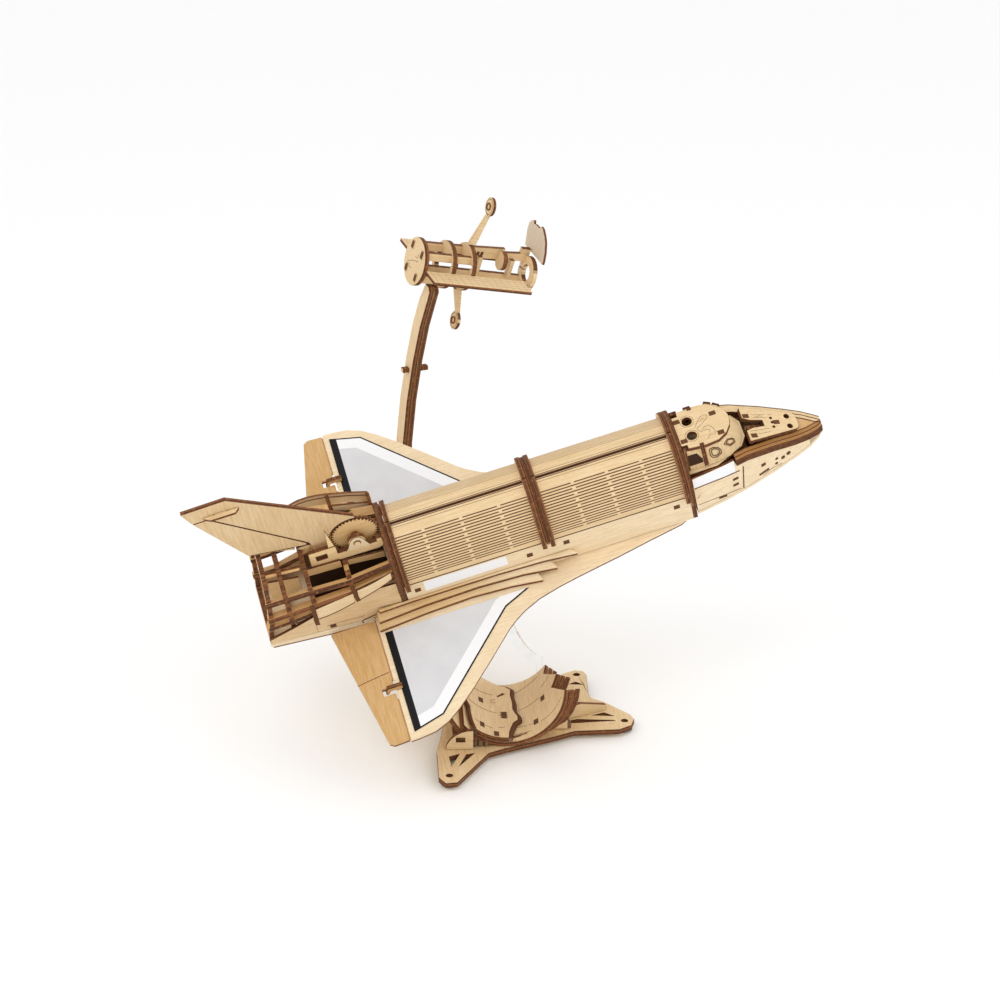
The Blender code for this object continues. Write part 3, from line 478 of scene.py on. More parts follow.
def joined(pieces):
    bpy.ops.object.select_all(action="DESELECT")
    for piece in pieces:
        piece.select_set(True)
    bpy.context.view_layer.objects.active = pieces[0]
    if len(pieces) > 1:
        bpy.ops.object.join()
    return pieces[0]


def spread(model, places):
    """One piece made of copies of a modelled part, one at each place."""
    twins = []
    for place in places:
        twin = bpy.data.objects.new("twin", model.data.copy())
        twin.data.transform(place)
        bpy.context.scene.collection.objects.link(twin)
        twins.append(twin)
    bpy.data.objects.remove(model)
    return joined(twins)


def cut_sheet(face, outline, thick, easing=0.1):
    """A flat piece cut to an outline in millimetres, as thick as given out of its face."""
    bpy.ops.object.select_all(action="DESELECT")
    bpy.ops.mesh.primitive_circle_add(vertices=len(outline), radius=MM, fill_type="NGON")
    piece = bpy.context.object
    for corner, (u, v) in zip(piece.data.vertices, outline):
        corner.co = (u * MM, v * MM, 0.0)
    bpy.ops.object.mode_set(mode="EDIT")
    bpy.ops.mesh.select_all(action="SELECT")
    bpy.ops.mesh.extrude_region_move(TRANSFORM_OT_translate={"value": (0.0, 0.0, thick * MM)})
    bpy.ops.mesh.select_all(action="SELECT")
    bpy.ops.mesh.normals_make_consistent(inside=False)
    bpy.ops.mesh.bevel(offset=easing * MM, segments=1, affect="EDGES")
    bpy.ops.object.mode_set(mode="OBJECT")
    piece.data.transform(face)
    return piece


def shift(face, u, v, turn=0.0):
    return face @ Matrix.Translation((u * MM, v * MM, 0.0)) @ Matrix.Rotation(math.radians(turn), 4, "Z")


def paper(name, pose):
    """Matt white printed paper with a faint fibre."""
    mat, tree, shader, spot = begin_material(name)
    fibre = speckle(tree, local(tree, spot["Object"], pose), 700.0, 3.0, 0.6)
    share = fade(tree, fibre, 0.3, 0.7)
    colour = tint_mix(tree, share, (0.84, 0.85, 0.87, 1.0), (0.90, 0.90, 0.91, 1.0))
    coat(tree, shader, colour, fade(tree, fibre, 0.3, 0.7, 0.42, 0.55), fibre, 0.1, 0.03 * MM)
    return mat


SIDES = (("left", 1), ("right", -1))
BURNT = 0.85
SIDE_TABS = ((8.0, 17.7), (82.5, 17.2), (107.1, 18.7), (180.5, 18.8))
SIDE_LABEL = ((12.6, 14.6), (13.2, 14.0), (67.2, 14.6), (67.8, 15.2),
              (67.8, 23.4), (67.2, 24.0), (13.2, 24.4), (12.6, 23.8))
scorched = birch("scorched_birch", ORBITER_POSE, ACROSS, ALONG_X, scored=BURNT)
label_paper = paper("blank_label", ORBITER_POSE)
for label, sign in SIDES:
    wall = face_on(ORBITER, (0.0, sign * 29.6, 0.0), (-sign, 0.0, 0.0), AXIS_Z)
    ends = spread(tab_end(3.9, 4.0), [shift(wall, -sign * x, z) for x, z in SIDE_TABS])
    settle(ends, "side_tab_ends_" + label, scorched)
    strip = cut_sheet(wall, [(-sign * x, z) for x, z in SIDE_LABEL], 0.12, 0.03)
    settle(strip, "side_label_" + label, label_paper)


# Elevon lines and notches
# A faint line is engraved across each elevon. Small blocks narrow the notch round
# the hook, and thin strips close the gap at the hinge.

def top_face(z, group=ORBITER):
    """Face that looks up, u to the nose and v to the left."""
    return face_on(group, (0.0, 0.0, z), AXIS_X, AXIS_Y)


def spots(points, group=ORBITER):
    """Points in millimetres of a group, as places in the scene."""
    return [group @ (Vector(point) * MM) for point in points]


def plate(name, face, outline, thick, mat, body="display"):
    settle(cut_sheet(face, outline, thick), name, mat, body)


def seam(name, strokes, wide, mat, body="display"):
    """Thin burnt lines along points given in the scene."""
    line = bpy.data.curves.new("seam", "CURVE")
    line.dimensions = "3D"
    line.bevel_depth = wide * MM / 2
    line.bevel_resolution = 1
    line.use_fill_caps = True
    for stroke in strokes:
        spline = line.splines.new("POLY")
        spline.points.add(len(stroke) - 1)
        for knot, spot in zip(spline.points, stroke):
            knot.co = (*spot, 1.0)
    holder = bpy.data.objects.new("seam", line)
    bpy.context.scene.collection.objects.link(holder)
    bpy.ops.object.select_all(action="DESELECT")
    holder.select_set(True)
    bpy.context.view_layer.objects.active = holder
    bpy.ops.object.convert(target="MESH")
    settle(bpy.context.view_layer.objects.active, name, mat, body)


faint = birch("birch_faint_line", ORBITER_POSE, UPRIGHT, ALONG_Y, (0.40, 0.22, 0.09, 1.0))
ELEVON_FILLS = (
    # part, face height, rear x, front x, thickness, inner y, outer y
    ("block_inner", -3.0, -32.6, -24.7, 2.96, 76.9, 81.8),
    ("block_outer", -3.0, -32.6, -24.7, 2.96, 87.2, 91.1),
    ("lip_inner", -2.0, -24.7, -23.75, 1.1, 30.8, 76.8),
    ("lip_outer", -2.0, -24.7, -23.75, 1.1, 91.2, 122.0),
)
for label, sign in SIDES:
    elevon = "elevon_" + label
    line = spots([(x, sign * y, 0.02) for x, y in ((-46.6, 74.0), (-36.0, 72.4), (-25.0, 70.9))])
    seam("elevon_line_" + label, [line], 0.5, faint, elevon)
    for part, height, rear, front, thick, near, far in ELEVON_FILLS:
        outline = [(rear, sign * near), (front, sign * near), (front, sign * far), (rear, sign * far)]
        plate("elevon_%s_%s" % (part, label), top_face(height), outline, thick, golden_birch, elevon)


# Payload bay doors
# Each half of the roof is one plywood sheet bent round by rows of long staggered
# cuts, on round ribs at its ends. Both swing out together.

DOOR_AXIS_Z = 25.0
GROOVES, GROOVE_FIRST, GROOVE_PITCH = 17, math.radians(11.4), math.radians(3.6)
DOORS_MEET = 95.0
BRIDGES = (
    # side of the line where the doors meet, first bridge between the cuts, pitch
    ("LESS_THAN", 22.7, 25.0),
    ("GREATER_THAN", 121.3, 22.5),
)
HALF_BRIDGE = 1.1
FAR_SIDE_TONE = 0.42


def within(tree, value, low, high):
    return times(tree, calc(tree, "GREATER_THAN", value, low), calc(tree, "LESS_THAN", value, high))


def door_birch():
    mat, tree, ply, place, away = bent_birch(
        "birch_doors", ORBITER_POSE, (0.0, 0.0, DOOR_AXIS_Z * MM), (0.0, 1.0, 1.0), PALE, ALONG_X)
    radius = aim(tree, "LENGTH", away)
    # ribs show their sheet's face along the fuselage, the skin across it
    outer_ribs = fade(tree, radius, 30.1 * MM, 30.3 * MM)
    inner_ribs = fade(tree, radius, 28.0 * MM, 27.8 * MM)
    ribs = calc(tree, "MAXIMUM", outer_ribs, inner_ribs)
    two_ways(tree, ply, ribs, ply.inputs["Sheet"].links[0].from_socket, ACROSS)
    _, sideways, upwards = split(tree, away)
    angle = calc(tree, "ARCTAN2", upwards, calc(tree, "ABSOLUTE", sideways))
    turn = calc(tree, "DIVIDE", calc(tree, "SUBTRACT", angle, GROOVE_FIRST), GROOVE_PITCH)
    number = calc(tree, "ROUND", turn)
    cut = fade(tree, calc(tree, "ABSOLUTE", calc(tree, "SUBTRACT", turn, number)), 0.25, 0.17)
    cut = times(tree, cut, within(tree, turn, -0.4, GROOVES - 0.6))
    x = split(tree, place)[0]
    near_side = calc(tree, "LESS_THAN", sideways, 0.0)
    bridges = 0.0
    for side, start, pitch in BRIDGES:
        step = calc(tree, "DIVIDE", calc(tree, "SUBTRACT", x, start * MM), pitch * MM)
        off = calc(tree, "ABSOLUTE", calc(tree, "SUBTRACT", step, calc(tree, "ROUND", step)))
        uncut = calc(tree, "LESS_THAN", off, HALF_BRIDGE / pitch)
        on_door = calc(tree, side, x, DOORS_MEET * MM)
        bridges = calc(tree, "ADD", bridges, times(tree, near_side, uncut, on_door))
    held = times(tree, bridges, rest_of(tree, calc(tree, "PINGPONG", number, 1.0)))
    tone = calc(tree, "ADD", FAR_SIDE_TONE, times(tree, near_side, 1.0 - FAR_SIDE_TONE))
    cut = times(tree, cut, rest_of(tree, held), tone)
    degrees = times(tree, angle, 180.0 / math.pi)
    lap = fade(tree, calc(tree, "ABSOLUTE", calc(tree, "SUBTRACT", degrees, 83.0)), 0.32, 0.22)
    bright_line = times(tree, fade(tree, degrees, 87.2, 87.3), fade(tree, degrees, 87.9, 87.8))
    crown = times(tree, fade(tree, degrees, 85.9, 86.1), rest_of(tree, bright_line))
    lines = calc(tree, "MAXIMUM", cut, calc(tree, "MAXIMUM", lap, crown))
    tree.links.new(times(tree, lines, rest_of(tree, ribs)), ply.inputs["Scored"])
    return mat


dress("rear_door_left rear_door_right front_door_left front_door_right", door_birch(), 0.15)


# Hoops beside the doors
# Round frames stand fixed between the inner ribs of the front and rear doors, and
# behind the rear one. They are cut across the fuselage, so their burnt edge shows.

def cross_face(x):
    """Face that looks to the nose, u to the left and v up."""
    return face_on(ORBITER, (x, 0.0, 0.0), AXIS_Y, AXIS_Z)


def arc(radius, start, end, steps):
    """Points on a circle from one angle to another, in degrees."""
    angles = [math.radians(start + (end - start) * i / steps) for i in range(steps + 1)]
    return [(radius * math.cos(t), radius * math.sin(t)) for t in angles]


DOOR_HOOPS = (
    # name, rear face, thickness, outer and inner radius
    ("mid_hoop_rear", 94.75, 0.95, 32.4, 27.4),
    ("mid_hoop_front", 95.85, 0.9, 32.4, 27.4),
    ("rear_hoop", -0.62, 1.1, 31.4, 27.6),
)
for name, x, thick, outer, inner in DOOR_HOOPS:
    half_ring = arc(outer, 3.0, 177.0, 36) + arc(inner, 177.0, 3.0, 36)
    plate(name, cross_face(x), [(y, DOOR_AXIS_Z + z) for y, z in half_ring], thick, cross_birch)


# Aft fuselage
# Four cross frames and eight stringers of plywood, slotted into each other and
# left open between them.

def cage_birch():
    """Frames lie across the fuselage, stringers edge on round its middle."""
    mat, tree, ply, place, facing = begin_birch("birch_cage", ORBITER_POSE, GOLDEN, ALONG_X)
    away = aim(tree, "SUBTRACT", place, (0.0, 0.0, 28.0 * MM))
    round_it = aim(tree, "NORMALIZE", aim(tree, "CROSS_PRODUCT", ACROSS, away))
    two_ways(tree, ply, cross_share(tree, facing), round_it, ACROSS)
    return mat


dress("aft_cage", cage_birch())


# Plates inside the aft fuselage
# A near-black lengthwise plate stands between the frames as painted shade, with golden
# strips under the wheel bracket and small plates between the rear frames, all slotted together.

def side_face(y, group=ORBITER, x=0.0, z=0.0):
    """Face that looks to the right, u to the nose and v up."""
    return face_on(group, (x, y, z), AXIS_X, AXIS_Z)


def drawn(face, strokes):
    return [[face @ Vector((u * MM, v * MM, 0.0)) for u, v in stroke] for stroke in strokes]


def length_plate(name, y, outline, thick, mat):
    """Upright plate along the fuselage, its right face at the given y."""
    plate(name, side_face(y), outline, -thick, mat)


# Near-black birch, painted shade: sheets of it stand for the shade in recesses and inside the aft fuselage
soot_and_painted_shade, painted_shade_tree, painted_shade_ply, _, _ = begin_birch("painted_shade_birch", ORBITER_POSE, PALE, ALONG_X)
painted_shade_ply.inputs["Scored"].default_value = 1.0
wire(painted_shade_tree, tint_mix(painted_shade_tree, 0.7, painted_shade_ply.outputs["Colour"], (0.012, 0.006, 0.003, 1.0)),
     painted_shade_tree.nodes["Principled BSDF"].inputs["Base Color"])
# painted light: a veneer much lighter than the golden sheet, on strips and plates that sit in shade inside the
# aft fuselage
painted_light_gold = birch("birch_gold_side", ORBITER_POSE, UPRIGHT, ALONG_X, (0.90, 0.62, 0.32, 1.0))
# painted shade: a near-black plate inside the aft fuselage
shade_plate = ((-58.5, 3.0), (-5.0, 3.0), (-5.0, 34.0), (-20.0, 36.0), (-58.5, 36.0))
length_plate("centre_painted_shade", -2.0, shade_plate, 2.0, soot_and_painted_shade)
AFT_PLATES = (
    # name, right face, thickness, plywood, outline
    ("under_strip_rear", -10.0, 1.5, painted_light_gold, ((-57.0, 40.8), (-33.0, 39.6), (-33.0, 47.0), (-57.0, 48.0))),
    ("under_strip_front", -10.0, 1.5, painted_light_gold, ((-28.6, 39.5), (-5.0, 36.2), (-5.0, 42.4), (-28.6, 45.2))),
    ("inner_plate_upper", -10.0, 1.5, painted_light_gold, ((-82.0, 25.0), (-62.0, 29.0), (-61.5, 43.0), (-81.0, 47.0))),
    ("upper_bar", -14.0, 2.2, painted_light_gold, ((-82.0, 62.0), (-58.4, 58.6), (-58.4, 55.8), (-82.0, 58.4))),
    ("inner_plate_lower", -23.0, 1.5, side_birch, ((-73.2, 12.4), (-60.8, 12.4), (-60.8, 27.0), (-72.4, 29.6))),
    ("inner_plate_rear", -20.0, 1.5, painted_light_gold, ((-87.0, 12.0), (-76.5, 10.5), (-75.5, 22.0), (-85.5, 25.0))),
)
for name, y, thick, sheet, outline in AFT_PLATES:
    length_plate(name, y, outline, thick, sheet)
rim = ((-72.2, 13.6), (-61.8, 13.6), (-61.8, 26.0), (-71.6, 28.4), (-72.2, 13.6))
seam("inner_plate_rim", drawn(side_face(-23.05), (rim,)), 0.9, scorched)


# Leaf strips and left quarter panel
# Pale strips fill the gap above the right side plate, between the feet of the
# frames. On the left a curved panel with two ribs stands above the frames.

LEAF_FEET = (((-58.0, 25.0), (-51.6, 25.4), (-45.1, 26.6), (-38.6, 28.6), (-32.1, 30.9)),
             ((-29.0, 31.5), (-21.0, 34.7), (-13.4, 38.2), (-9.0, 40.6), (-5.1, 43.2)))
LEAF_TOPS = (((-57.3, 36.0), (-30.9, 40.9)),
             ((-28.2, 42.4), (-22.0, 43.7), (-16.3, 45.3), (-10.0, 47.8), (-4.6, 50.2)))
FRAME_FEET = (((-59.4, 42.8), (-56.7, 41.2), (-57.7, 18.8), (-60.6, 19.6)),
              ((-31.8, 48.7), (-29.1, 48.0), (-28.2, 31.3), (-30.9, 31.0)))
leaf_birch = birch("birch_leaf", ORBITER_POSE, UPRIGHT, ALONG_X, (0.84, 0.65, 0.41, 1.0))
for label, top, foot in zip(("rear", "front"), LEAF_TOPS, LEAF_FEET):
    plate("leaf_strip_" + label, side_face(-31.9), top + foot[::-1], 0.9, leaf_birch)
for label, outline in zip(("rear", "front"), FRAME_FEET):
    plate("frame_foot_" + label, side_face(-32.6), outline, 0.7, scorched)
panel_top = ((-54.0, 64.0), (-48.0, 66.0), (-42.4, 66.3), (-36.0, 65.4), (-30.6, 64.0),
             (-16.9, 58.6), (-3.8, 52.2))
panel_low = ((-3.8, 42.4), (-16.9, 48.4), (-30.6, 53.6), (-42.4, 57.0), (-54.0, 60.4))
length_plate("quarter_panel", 30.0, panel_top + panel_low, 1.5, side_birch)
strip = ((-28.0, 48.0), (-5.0, 39.0), (-5.0, 47.0), (-28.0, 55.6))
# painted shadow: a near-black plate behind the quarter strip
shadow = ((-29.0, 42.0), (-5.0, 33.0), (-5.0, 42.0), (-29.0, 52.0))
length_plate("quarter_strip", 26.0, strip, 1.5, side_birch)
length_plate("quarter_shadow", 24.0, shadow, 1.0, soot_and_painted_shade)
seam("quarter_panel_edge", [spots([(x, 28.3, z - 0.2) for x, z in panel_top])], 0.8, scorched)
for label, x, low, high in (("rear", -30.4, 46.0, 63.4), ("front", -5.6, 38.0, 52.8)):
    outline = ((22.0, low), (29.8, low), (31.2, low + 5.0),
               (31.2, high - 2.0), (29.4, high + 0.6), (24.0, high - 4.0))
    plate("quarter_rib_" + label, cross_face(x), outline, 2.4, cross_birch)
aft_wall = face_on(ORBITER, (-91.5, -24.45, 0.0), (87.7, -4.8, 0.0), AXIS_Z)
settle(spread(tab_end(4.0, 3.6), [shift(aft_wall, 40.8, 3.4)]), "aft_tab_end", scorched)
aft_seams = ((37.2, 5.2), (62.0, 5.4)), ((30.5, 16.5), (30.5, 1.0))
seam("aft_side_seams", drawn(aft_wall, aft_seams), 0.25, scorched)
seam("leaf_foot_lines", drawn(side_face(-32.8), LEAF_FEET), 0.7, scorched)
curl = ((-31.3, -34.5), (-32.1, -33.2), (-30.5, -32.2), (-27.1, -31.8), (-22.0, -31.2))
seam("step_curl", [spots([(x, y, 7.7) for x, y in curl])], 0.8, scorched)
seam("aft_side_edge", drawn(aft_wall, (((0.5, 6.0), (17.8, 13.0), (31.8, 19.5)),)), 0.7, scorched)


# Fin, rudder and thumb wheel
# One upright plywood sheet, a small cross clip near its top, and a toothed wheel
# between two bracket plates that turns the doors.

def boss(radius, corners, rise, rim, sink):
    """A low round button with a sunk middle, in millimetres."""
    bpy.ops.mesh.primitive_circle_add(vertices=corners, radius=radius * MM, fill_type="NGON")
    button = bpy.context.object
    pick_faces(button, lambda face: True)
    bpy.ops.mesh.extrude_region_move(TRANSFORM_OT_translate={"value": (0.0, 0.0, rise * MM)})
    bpy.ops.mesh.inset(thickness=rim * MM)
    bpy.ops.transform.translate(value=(0.0, 0.0, -sink * MM))
    bpy.ops.object.mode_set(mode="OBJECT")
    return button


fin_birch = birch("birch_fin", ORBITER_POSE, UPRIGHT, ALONG_Z, (0.75, 0.55, 0.325, 1.0))
dress("fin rudder", fin_birch)
# painted light: a very light veneer on bracket plates that sit in the fin's shade
dress("wheel_mount", birch("birch_wheel_mount", ORBITER_POSE, UPRIGHT, ALONG_X, (0.97, 0.73, 0.42, 1.0)))
dress("thumb_wheel", birch("birch_wheel", ORBITER_POSE, UPRIGHT, ALONG_X, (0.78, 0.54, 0.28, 1.0)))
dress("fin_clip", birch("birch_clip", ORBITER_POSE, FLAT, ALONG_X))
hump = ((-27.6, 52.2), (-26.0, 54.0), (-24.2, 58.6), (-22.6, 61.8), (-20.8, 63.6), (-18.6, 64.0),
        (-16.6, 63.2), (-15.0, 61.0), (-13.6, 57.4), (-12.2, 53.6), (-10.8, 52.2))
bracket_wall = side_face(-8.0)
plate("bracket_hump", bracket_wall, hump, 0.7, side_birch)
bush = boss(2.5, 24, 0.9, 0.7, 0.5)
bush.data.transform(shift(bracket_wall, -19.0, 58.5))
settle(bush, "axle_bush", scorched)
tongue = ((-57.0, 61.3), (-54.0, 62.0), (-50.0, 61.9), (-48.2, 61.4),
          (-47.7, 60.0), (-48.8, 58.5), (-52.6, 58.2))
heel = ((-84.0, 68.9), (-57.6, 63.4), (-57.6, 61.2), (-72.5, 66.6))
length_plate("rudder_tongue", -1.5, tongue, 3.0, fin_birch)
length_plate("rudder_heel", -1.5, heel, 3.0, fin_birch)


# Nose
# Plywood side plates, rails and a sloping deck slotted over an inner cage, with a
# cabin whose windows are scored into a bent band.

dress("nose_side_left nose_side_right", side_birch)
dress("nose_rail_left", birch("birch_rail_far", ORBITER_POSE, FLAT, ALONG_X))
dress("nose_rail_right", birch("birch_rail_near", ORBITER_POSE, FLAT, ALONG_X, (0.40, 0.20, 0.075, 1.0)))
dress("nose_cage", cross_birch)
dress("nose_deck cabin_roof cabin_shelf", birch("birch_deck", ORBITER_POSE, FLAT, ALONG_X))


def band_birch():
    """The sloping band bends round the front of the cabin."""
    mat, tree, ply, _, facing = begin_birch("birch_band", ORBITER_POSE, PALE, ALONG_Z)
    level = aim(tree, "NORMALIZE", aim(tree, "MULTIPLY", facing, (1.0, 1.0, 0.0)))
    lean = (0.0, 0.0, 0.42)
    tree.links.new(aim(tree, "NORMALIZE", aim(tree, "ADD", level, lean)), ply.inputs["Sheet"])
    return mat


dress("cabin_windows", band_birch())


# Cabin and deck fittings
# Tab ends show in the roof and the deck, with engraved lines between them. Brown
# cross posts stand before the band, whose windows are cut as outlines only.

def ring_line(u, v, radius):
    return [(u + a, v + b) for a, b in arc(radius, 0.0, 360.0, 20)]


SHEET = 3.0
DECK_X, DECK_Z, DECK_SLOPE = 235.9, 38.2, math.atan(0.397)
roof_top = top_face(55.0)
deck_seat = Matrix.Translation((DECK_X * MM, 0.0, DECK_Z * MM)) @ Matrix.Rotation(DECK_SLOPE, 4, "Y")
deck_top = ORBITER @ deck_seat @ Matrix.Translation((0.0, 0.0, SHEET * MM))


def on_deck(points):
    """Points given by x and y of the orbiter, as u and v of the sloping deck."""
    return [((x - DECK_X - SHEET * math.sin(DECK_SLOPE)) / math.cos(DECK_SLOPE), y) for x, y in points]


tabs = [shift(roof_top, x, y) for x, y in ((195.4, 7.6), (196.0, -8.2), (218.8, 6.1), (219.7, -9.8))]
tabs += [shift(deck_top, u, v) for u, v in on_deck(((239.5, 6.6), (240.3, -9.5), (257.2, -0.1)))]
settle(spread(tab_end(4.2, 3.2), tabs), "roof_tab_ends", scorched)
roof_curl = ((205.5, -0.3), (208.5, 3.6), (211.0, 6.2), (212.8, 6.9), (214.6, 6.2), (215.2, 5.0), (213.4, 3.0),
             (211.1, 1.2), (208.0, -0.6), (206.5, -1.6), (206.8, -3.6), (208.4, -5.1), (210.7, -2.3),
             (213.8, -1.7), (215.9, -4.4), (216.6, -7.0), (216.1, -9.9), (213.0, -9.1), (210.6, -11.4))
roof_lines = (roof_curl, ring_line(201.8, 5.8, 4.3), ring_line(201.8, -5.8, 4.3),
              ((209.6, 3.0), (211.8, 4.6), (212.6, 3.8)),
              ((209.8, -4.6), (211.8, -4.4), (213.6, -5.6), (213.4, -7.4)))
deck_lines = (((243.0, 7.4), (251.5, 6.6)), ((243.9, 4.8), (251.9, 4.0)), ((238.9, -5.8), (251.3, -4.7)),
              ((243.0, -8.4), (251.5, -7.4)), ((253.6, 6.6), (256.0, 5.8)),
              ((245.0, 6.2), (246.6, 5.2), (248.2, 6.2), (249.8, 5.2)))
scribes = drawn(roof_top, roof_lines) + drawn(deck_top, [on_deck(stroke) for stroke in deck_lines])
seam("roof_scribes", scribes, 0.24, scorched)

roof_rim = top_face(53.6)
edge_tabs = [shift(roof_rim, x, y, turn) for x, y, turn in (
    (195.2, 15.0, 0.0), (204.6, 15.6, 0.0), (217.6, 14.6, -28.0), (222.4, 11.6, -38.0))]
settle(spread(tab_end(4.6, 2.4, 1.5), edge_tabs), "roof_edge_tabs", scorched)

WINDOWS = (
    ((209.6, 15.5, 48.8), (212.0, 15.2, 49.2), (214.6, 15.3, 48.0), (216.1, 15.5, 46.8), (216.9, 16.4, 44.6),
     (216.6, 17.0, 42.9), (213.3, 17.9, 41.7), (210.6, 17.7, 42.4), (209.4, 17.3, 44.4), (209.6, 15.5, 48.8)),
    ((219.5, 14.2, 47.6), (222.5, 12.0, 48.6), (225.2, 11.0, 47.0), (227.0, 10.8, 45.1), (227.2, 12.0, 43.1),
     (223.6, 14.1, 43.6), (219.5, 14.2, 47.6)),
)
band_outlines = []
for sign in (1, -1):
    for window in WINDOWS:
        middle = sum((Vector(knot) for knot in window[:-1]), Vector()) / (len(window) - 1)
        for share in (1.0, 0.68):
            knots = [middle.lerp(Vector(knot), share) for knot in window]
            band_outlines.append(spots([(x, sign * (y + 0.1), z + 0.05) for x, y, z in knots]))
seam("window_outlines", band_outlines, 0.55, scorched)
POST = ((13.4, 55.6), (15.4, 55.6), (16.6, 51.0), (20.2, 39.6), (18.4, 38.2), (14.6, 50.0))
for label, sign in SIDES:
    for nick, x, wide in (("front", 204.4, 2.8), ("rear", 194.0, 1.2)):
        post = [(sign * y, z) for y, z in POST]
        plate("cabin_post_%s_%s" % (nick, label), cross_face(x), post, wide, cross_birch)
    # painted shade: a thin near-black sheet fills the recess behind the posts
    recess = face_on(ORBITER, (195.4, sign * 18.55, 39.6), (-sign * 1.0, 0.0, 0.0), (0.0, -sign * 0.387, 1.0))
    gap = [(-sign * u, v) for u, v in ((0.0, 1.4), (8.8, 1.6), (8.8, 8.4), (6.4, 9.6), (0.0, 9.4))]
    settle(cut_sheet(recess, gap, 0.14, 0.03), "cabin_gap_" + label, soot_and_painted_shade)


# Nose side fittings
# The same burnt tab ends and small round vents sit in the nose sides, which are
# joined at an upright seam behind them. A blank white label covers their rear.

nose_walls = {}
for label, sign in SIDES:
    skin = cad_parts["nose_side_" + label]
    corners = [skin.matrix_world @ v.co for v in skin.data.vertices]
    nose_walls[sign] = BVHTree.FromPolygons(corners, [f.vertices for f in skin.data.polygons])


def on_nose(x, z, sign):
    """Spot on the nose side, and the direction out of it, seen square from the side."""
    start = spots([(x, sign * 60.0, z)])[0]
    spot, out, _, _ = nose_walls[sign].ray_cast(start, ORBITER.to_3x3() @ Vector((0.0, -sign, 0.0)))
    return spot, out


def nose_spot(x, z, sign, turn=0.0):
    spot, out = on_nose(x, z, sign)
    along = ORBITER.to_3x3() @ Vector((-sign, 0.0, 0.0))
    along = (along - out * along.dot(out)).normalized()
    basis = Matrix((along, out.cross(along), out)).transposed().to_4x4()
    return Matrix.Translation(spot) @ basis @ Matrix.Rotation(math.radians(turn), 4, "Z")


NOSE_TABS = (
    # x, z, length, height, turn in degrees
    (221.8, 18.8, 3.9, 2.5, 0.0), (221.4, 12.9, 3.9, 2.5, 0.0), (241.6, 18.2, 3.2, 2.8, 0.0),
    (241.2, 11.1, 7.4, 1.9, 12.0), (211.6, 6.6, 5.6, 2.0, -8.0),
)
VENTS = (
    # x, z, radius
    (250.9, 17.2, 1.1), (250.3, 13.1, 1.1), (255.3, 15.0, 1.5), (259.4, 16.0, 1.6),
)
NOSE_LINES = (
    ("nose_scribes_", 0.4, (((195.0, 17.2), (196.0, 18.0), (197.1, 19.3)),
                            ((194.6, 9.6), (205.0, 8.6), (215.0, 7.6), (224.4, 6.6)),
                            ((240.0, 8.4), (247.0, 10.8), (254.0, 10.2)))),
    ("nose_seams_", 0.85, (((228.1, 27.4), (227.4, 20.0), (226.7, 13.0), (226.0, 6.0)),
                           ((194.0, 28.4), (204.0, 27.4), (212.0, 26.5), (225.2, 25.2)))),
)
# x, foot and height of the label at its rear and its front end
LABEL_REAR, LABEL_FRONT = Vector((193.9, 29.0, 9.6)), Vector((222.5, 26.2, 11.4))
for label, sign in SIDES:
    ends = []
    for x, z, wide, high, turn in NOSE_TABS:
        ends.append(spread(tab_end(wide, high), [nose_spot(x, z, sign, -sign * turn)]))
    for x, z, radius in VENTS:
        vent = boss(radius, 16, 0.12, 0.25 * radius, 0.08)
        vent.data.transform(nose_spot(x, z, sign))
        ends.append(vent)
    settle(joined(ends), "nose_tab_ends_" + label, scorched)
    for name, wide, strokes in NOSE_LINES:
        lines = [[on_nose(x, z, sign)[0] for x, z in stroke] for stroke in strokes]
        seam(name + label, lines, wide, scorched)
    bpy.ops.mesh.primitive_grid_add(x_subdivisions=10, y_subdivisions=3, size=1.0)
    patch = bpy.context.object
    for corner in patch.data.vertices:
        x, foot, height = LABEL_REAR.lerp(LABEL_FRONT, corner.co.x + 0.5)
        spot, out = on_nose(x, foot + (corner.co.y + 0.5) * height, sign)
        corner.co = spot + out * 0.02 * MM
    pick_faces(patch, lambda face: True)
    bpy.ops.mesh.normals_make_consistent(inside=False)
    outwards = patch.data.polygons[0].normal.dot(on_nose(205.0, 30.0, sign)[1]) > 0
    thick = 0.12 * MM if outwards else -0.12 * MM
    bpy.ops.mesh.extrude_region_shrink_fatten(TRANSFORM_OT_shrink_fatten={"value": thick})
    bpy.ops.mesh.select_all(action="SELECT")
    bpy.ops.mesh.normals_make_consistent(inside=False)
    bpy.ops.object.mode_set(mode="OBJECT")
    settle(patch, "nose_label_" + label, label_paper)


# Rail edges and nose tip
# Each nose rail is a stack of strips on edge, so dark lines run along it. A golden
# plate closes the gap between the rails at the tip.

RAIL_ROWS = (
    # x, half width, top
    (223.8, 21.6, 38.1), (232.0, 19.6, 37.5), (250.0, 15.2, 31.9), (265.0, 11.5, 26.0), (275.0, 8.2, 22.4),
    (282.0, 4.8, 19.8), (285.5, 2.4, 19.2),
)
for label, sign in SIDES:
    lines = []
    for inward, down in ((-1.2, 0.0), (1.6, 0.0), (4.5, 0.0), (-1.2, 1.9), (-1.2, 3.6), (-1.2, 5.2)):
        rows = RAIL_ROWS if sign < 0 or inward < 0 else RAIL_ROWS[3:]
        lines.append(spots([(x, sign * max(y - inward, 0.3), z - down) for x, y, z in rows]))
    seam("rail_edges_" + label, lines, 0.62, scorched)
tip_face = face_on(ORBITER, (266.0, 0.0, 24.4), (1.0, 0.0, -0.365), AXIS_Y)
tip = ((0.0, -6.4), (14.0, -2.6), (17.0, -1.2), (17.0, 1.2), (14.0, 2.6), (0.0, 6.4))
plate("tip_plate", tip_face, tip, 1.0, golden_birch)


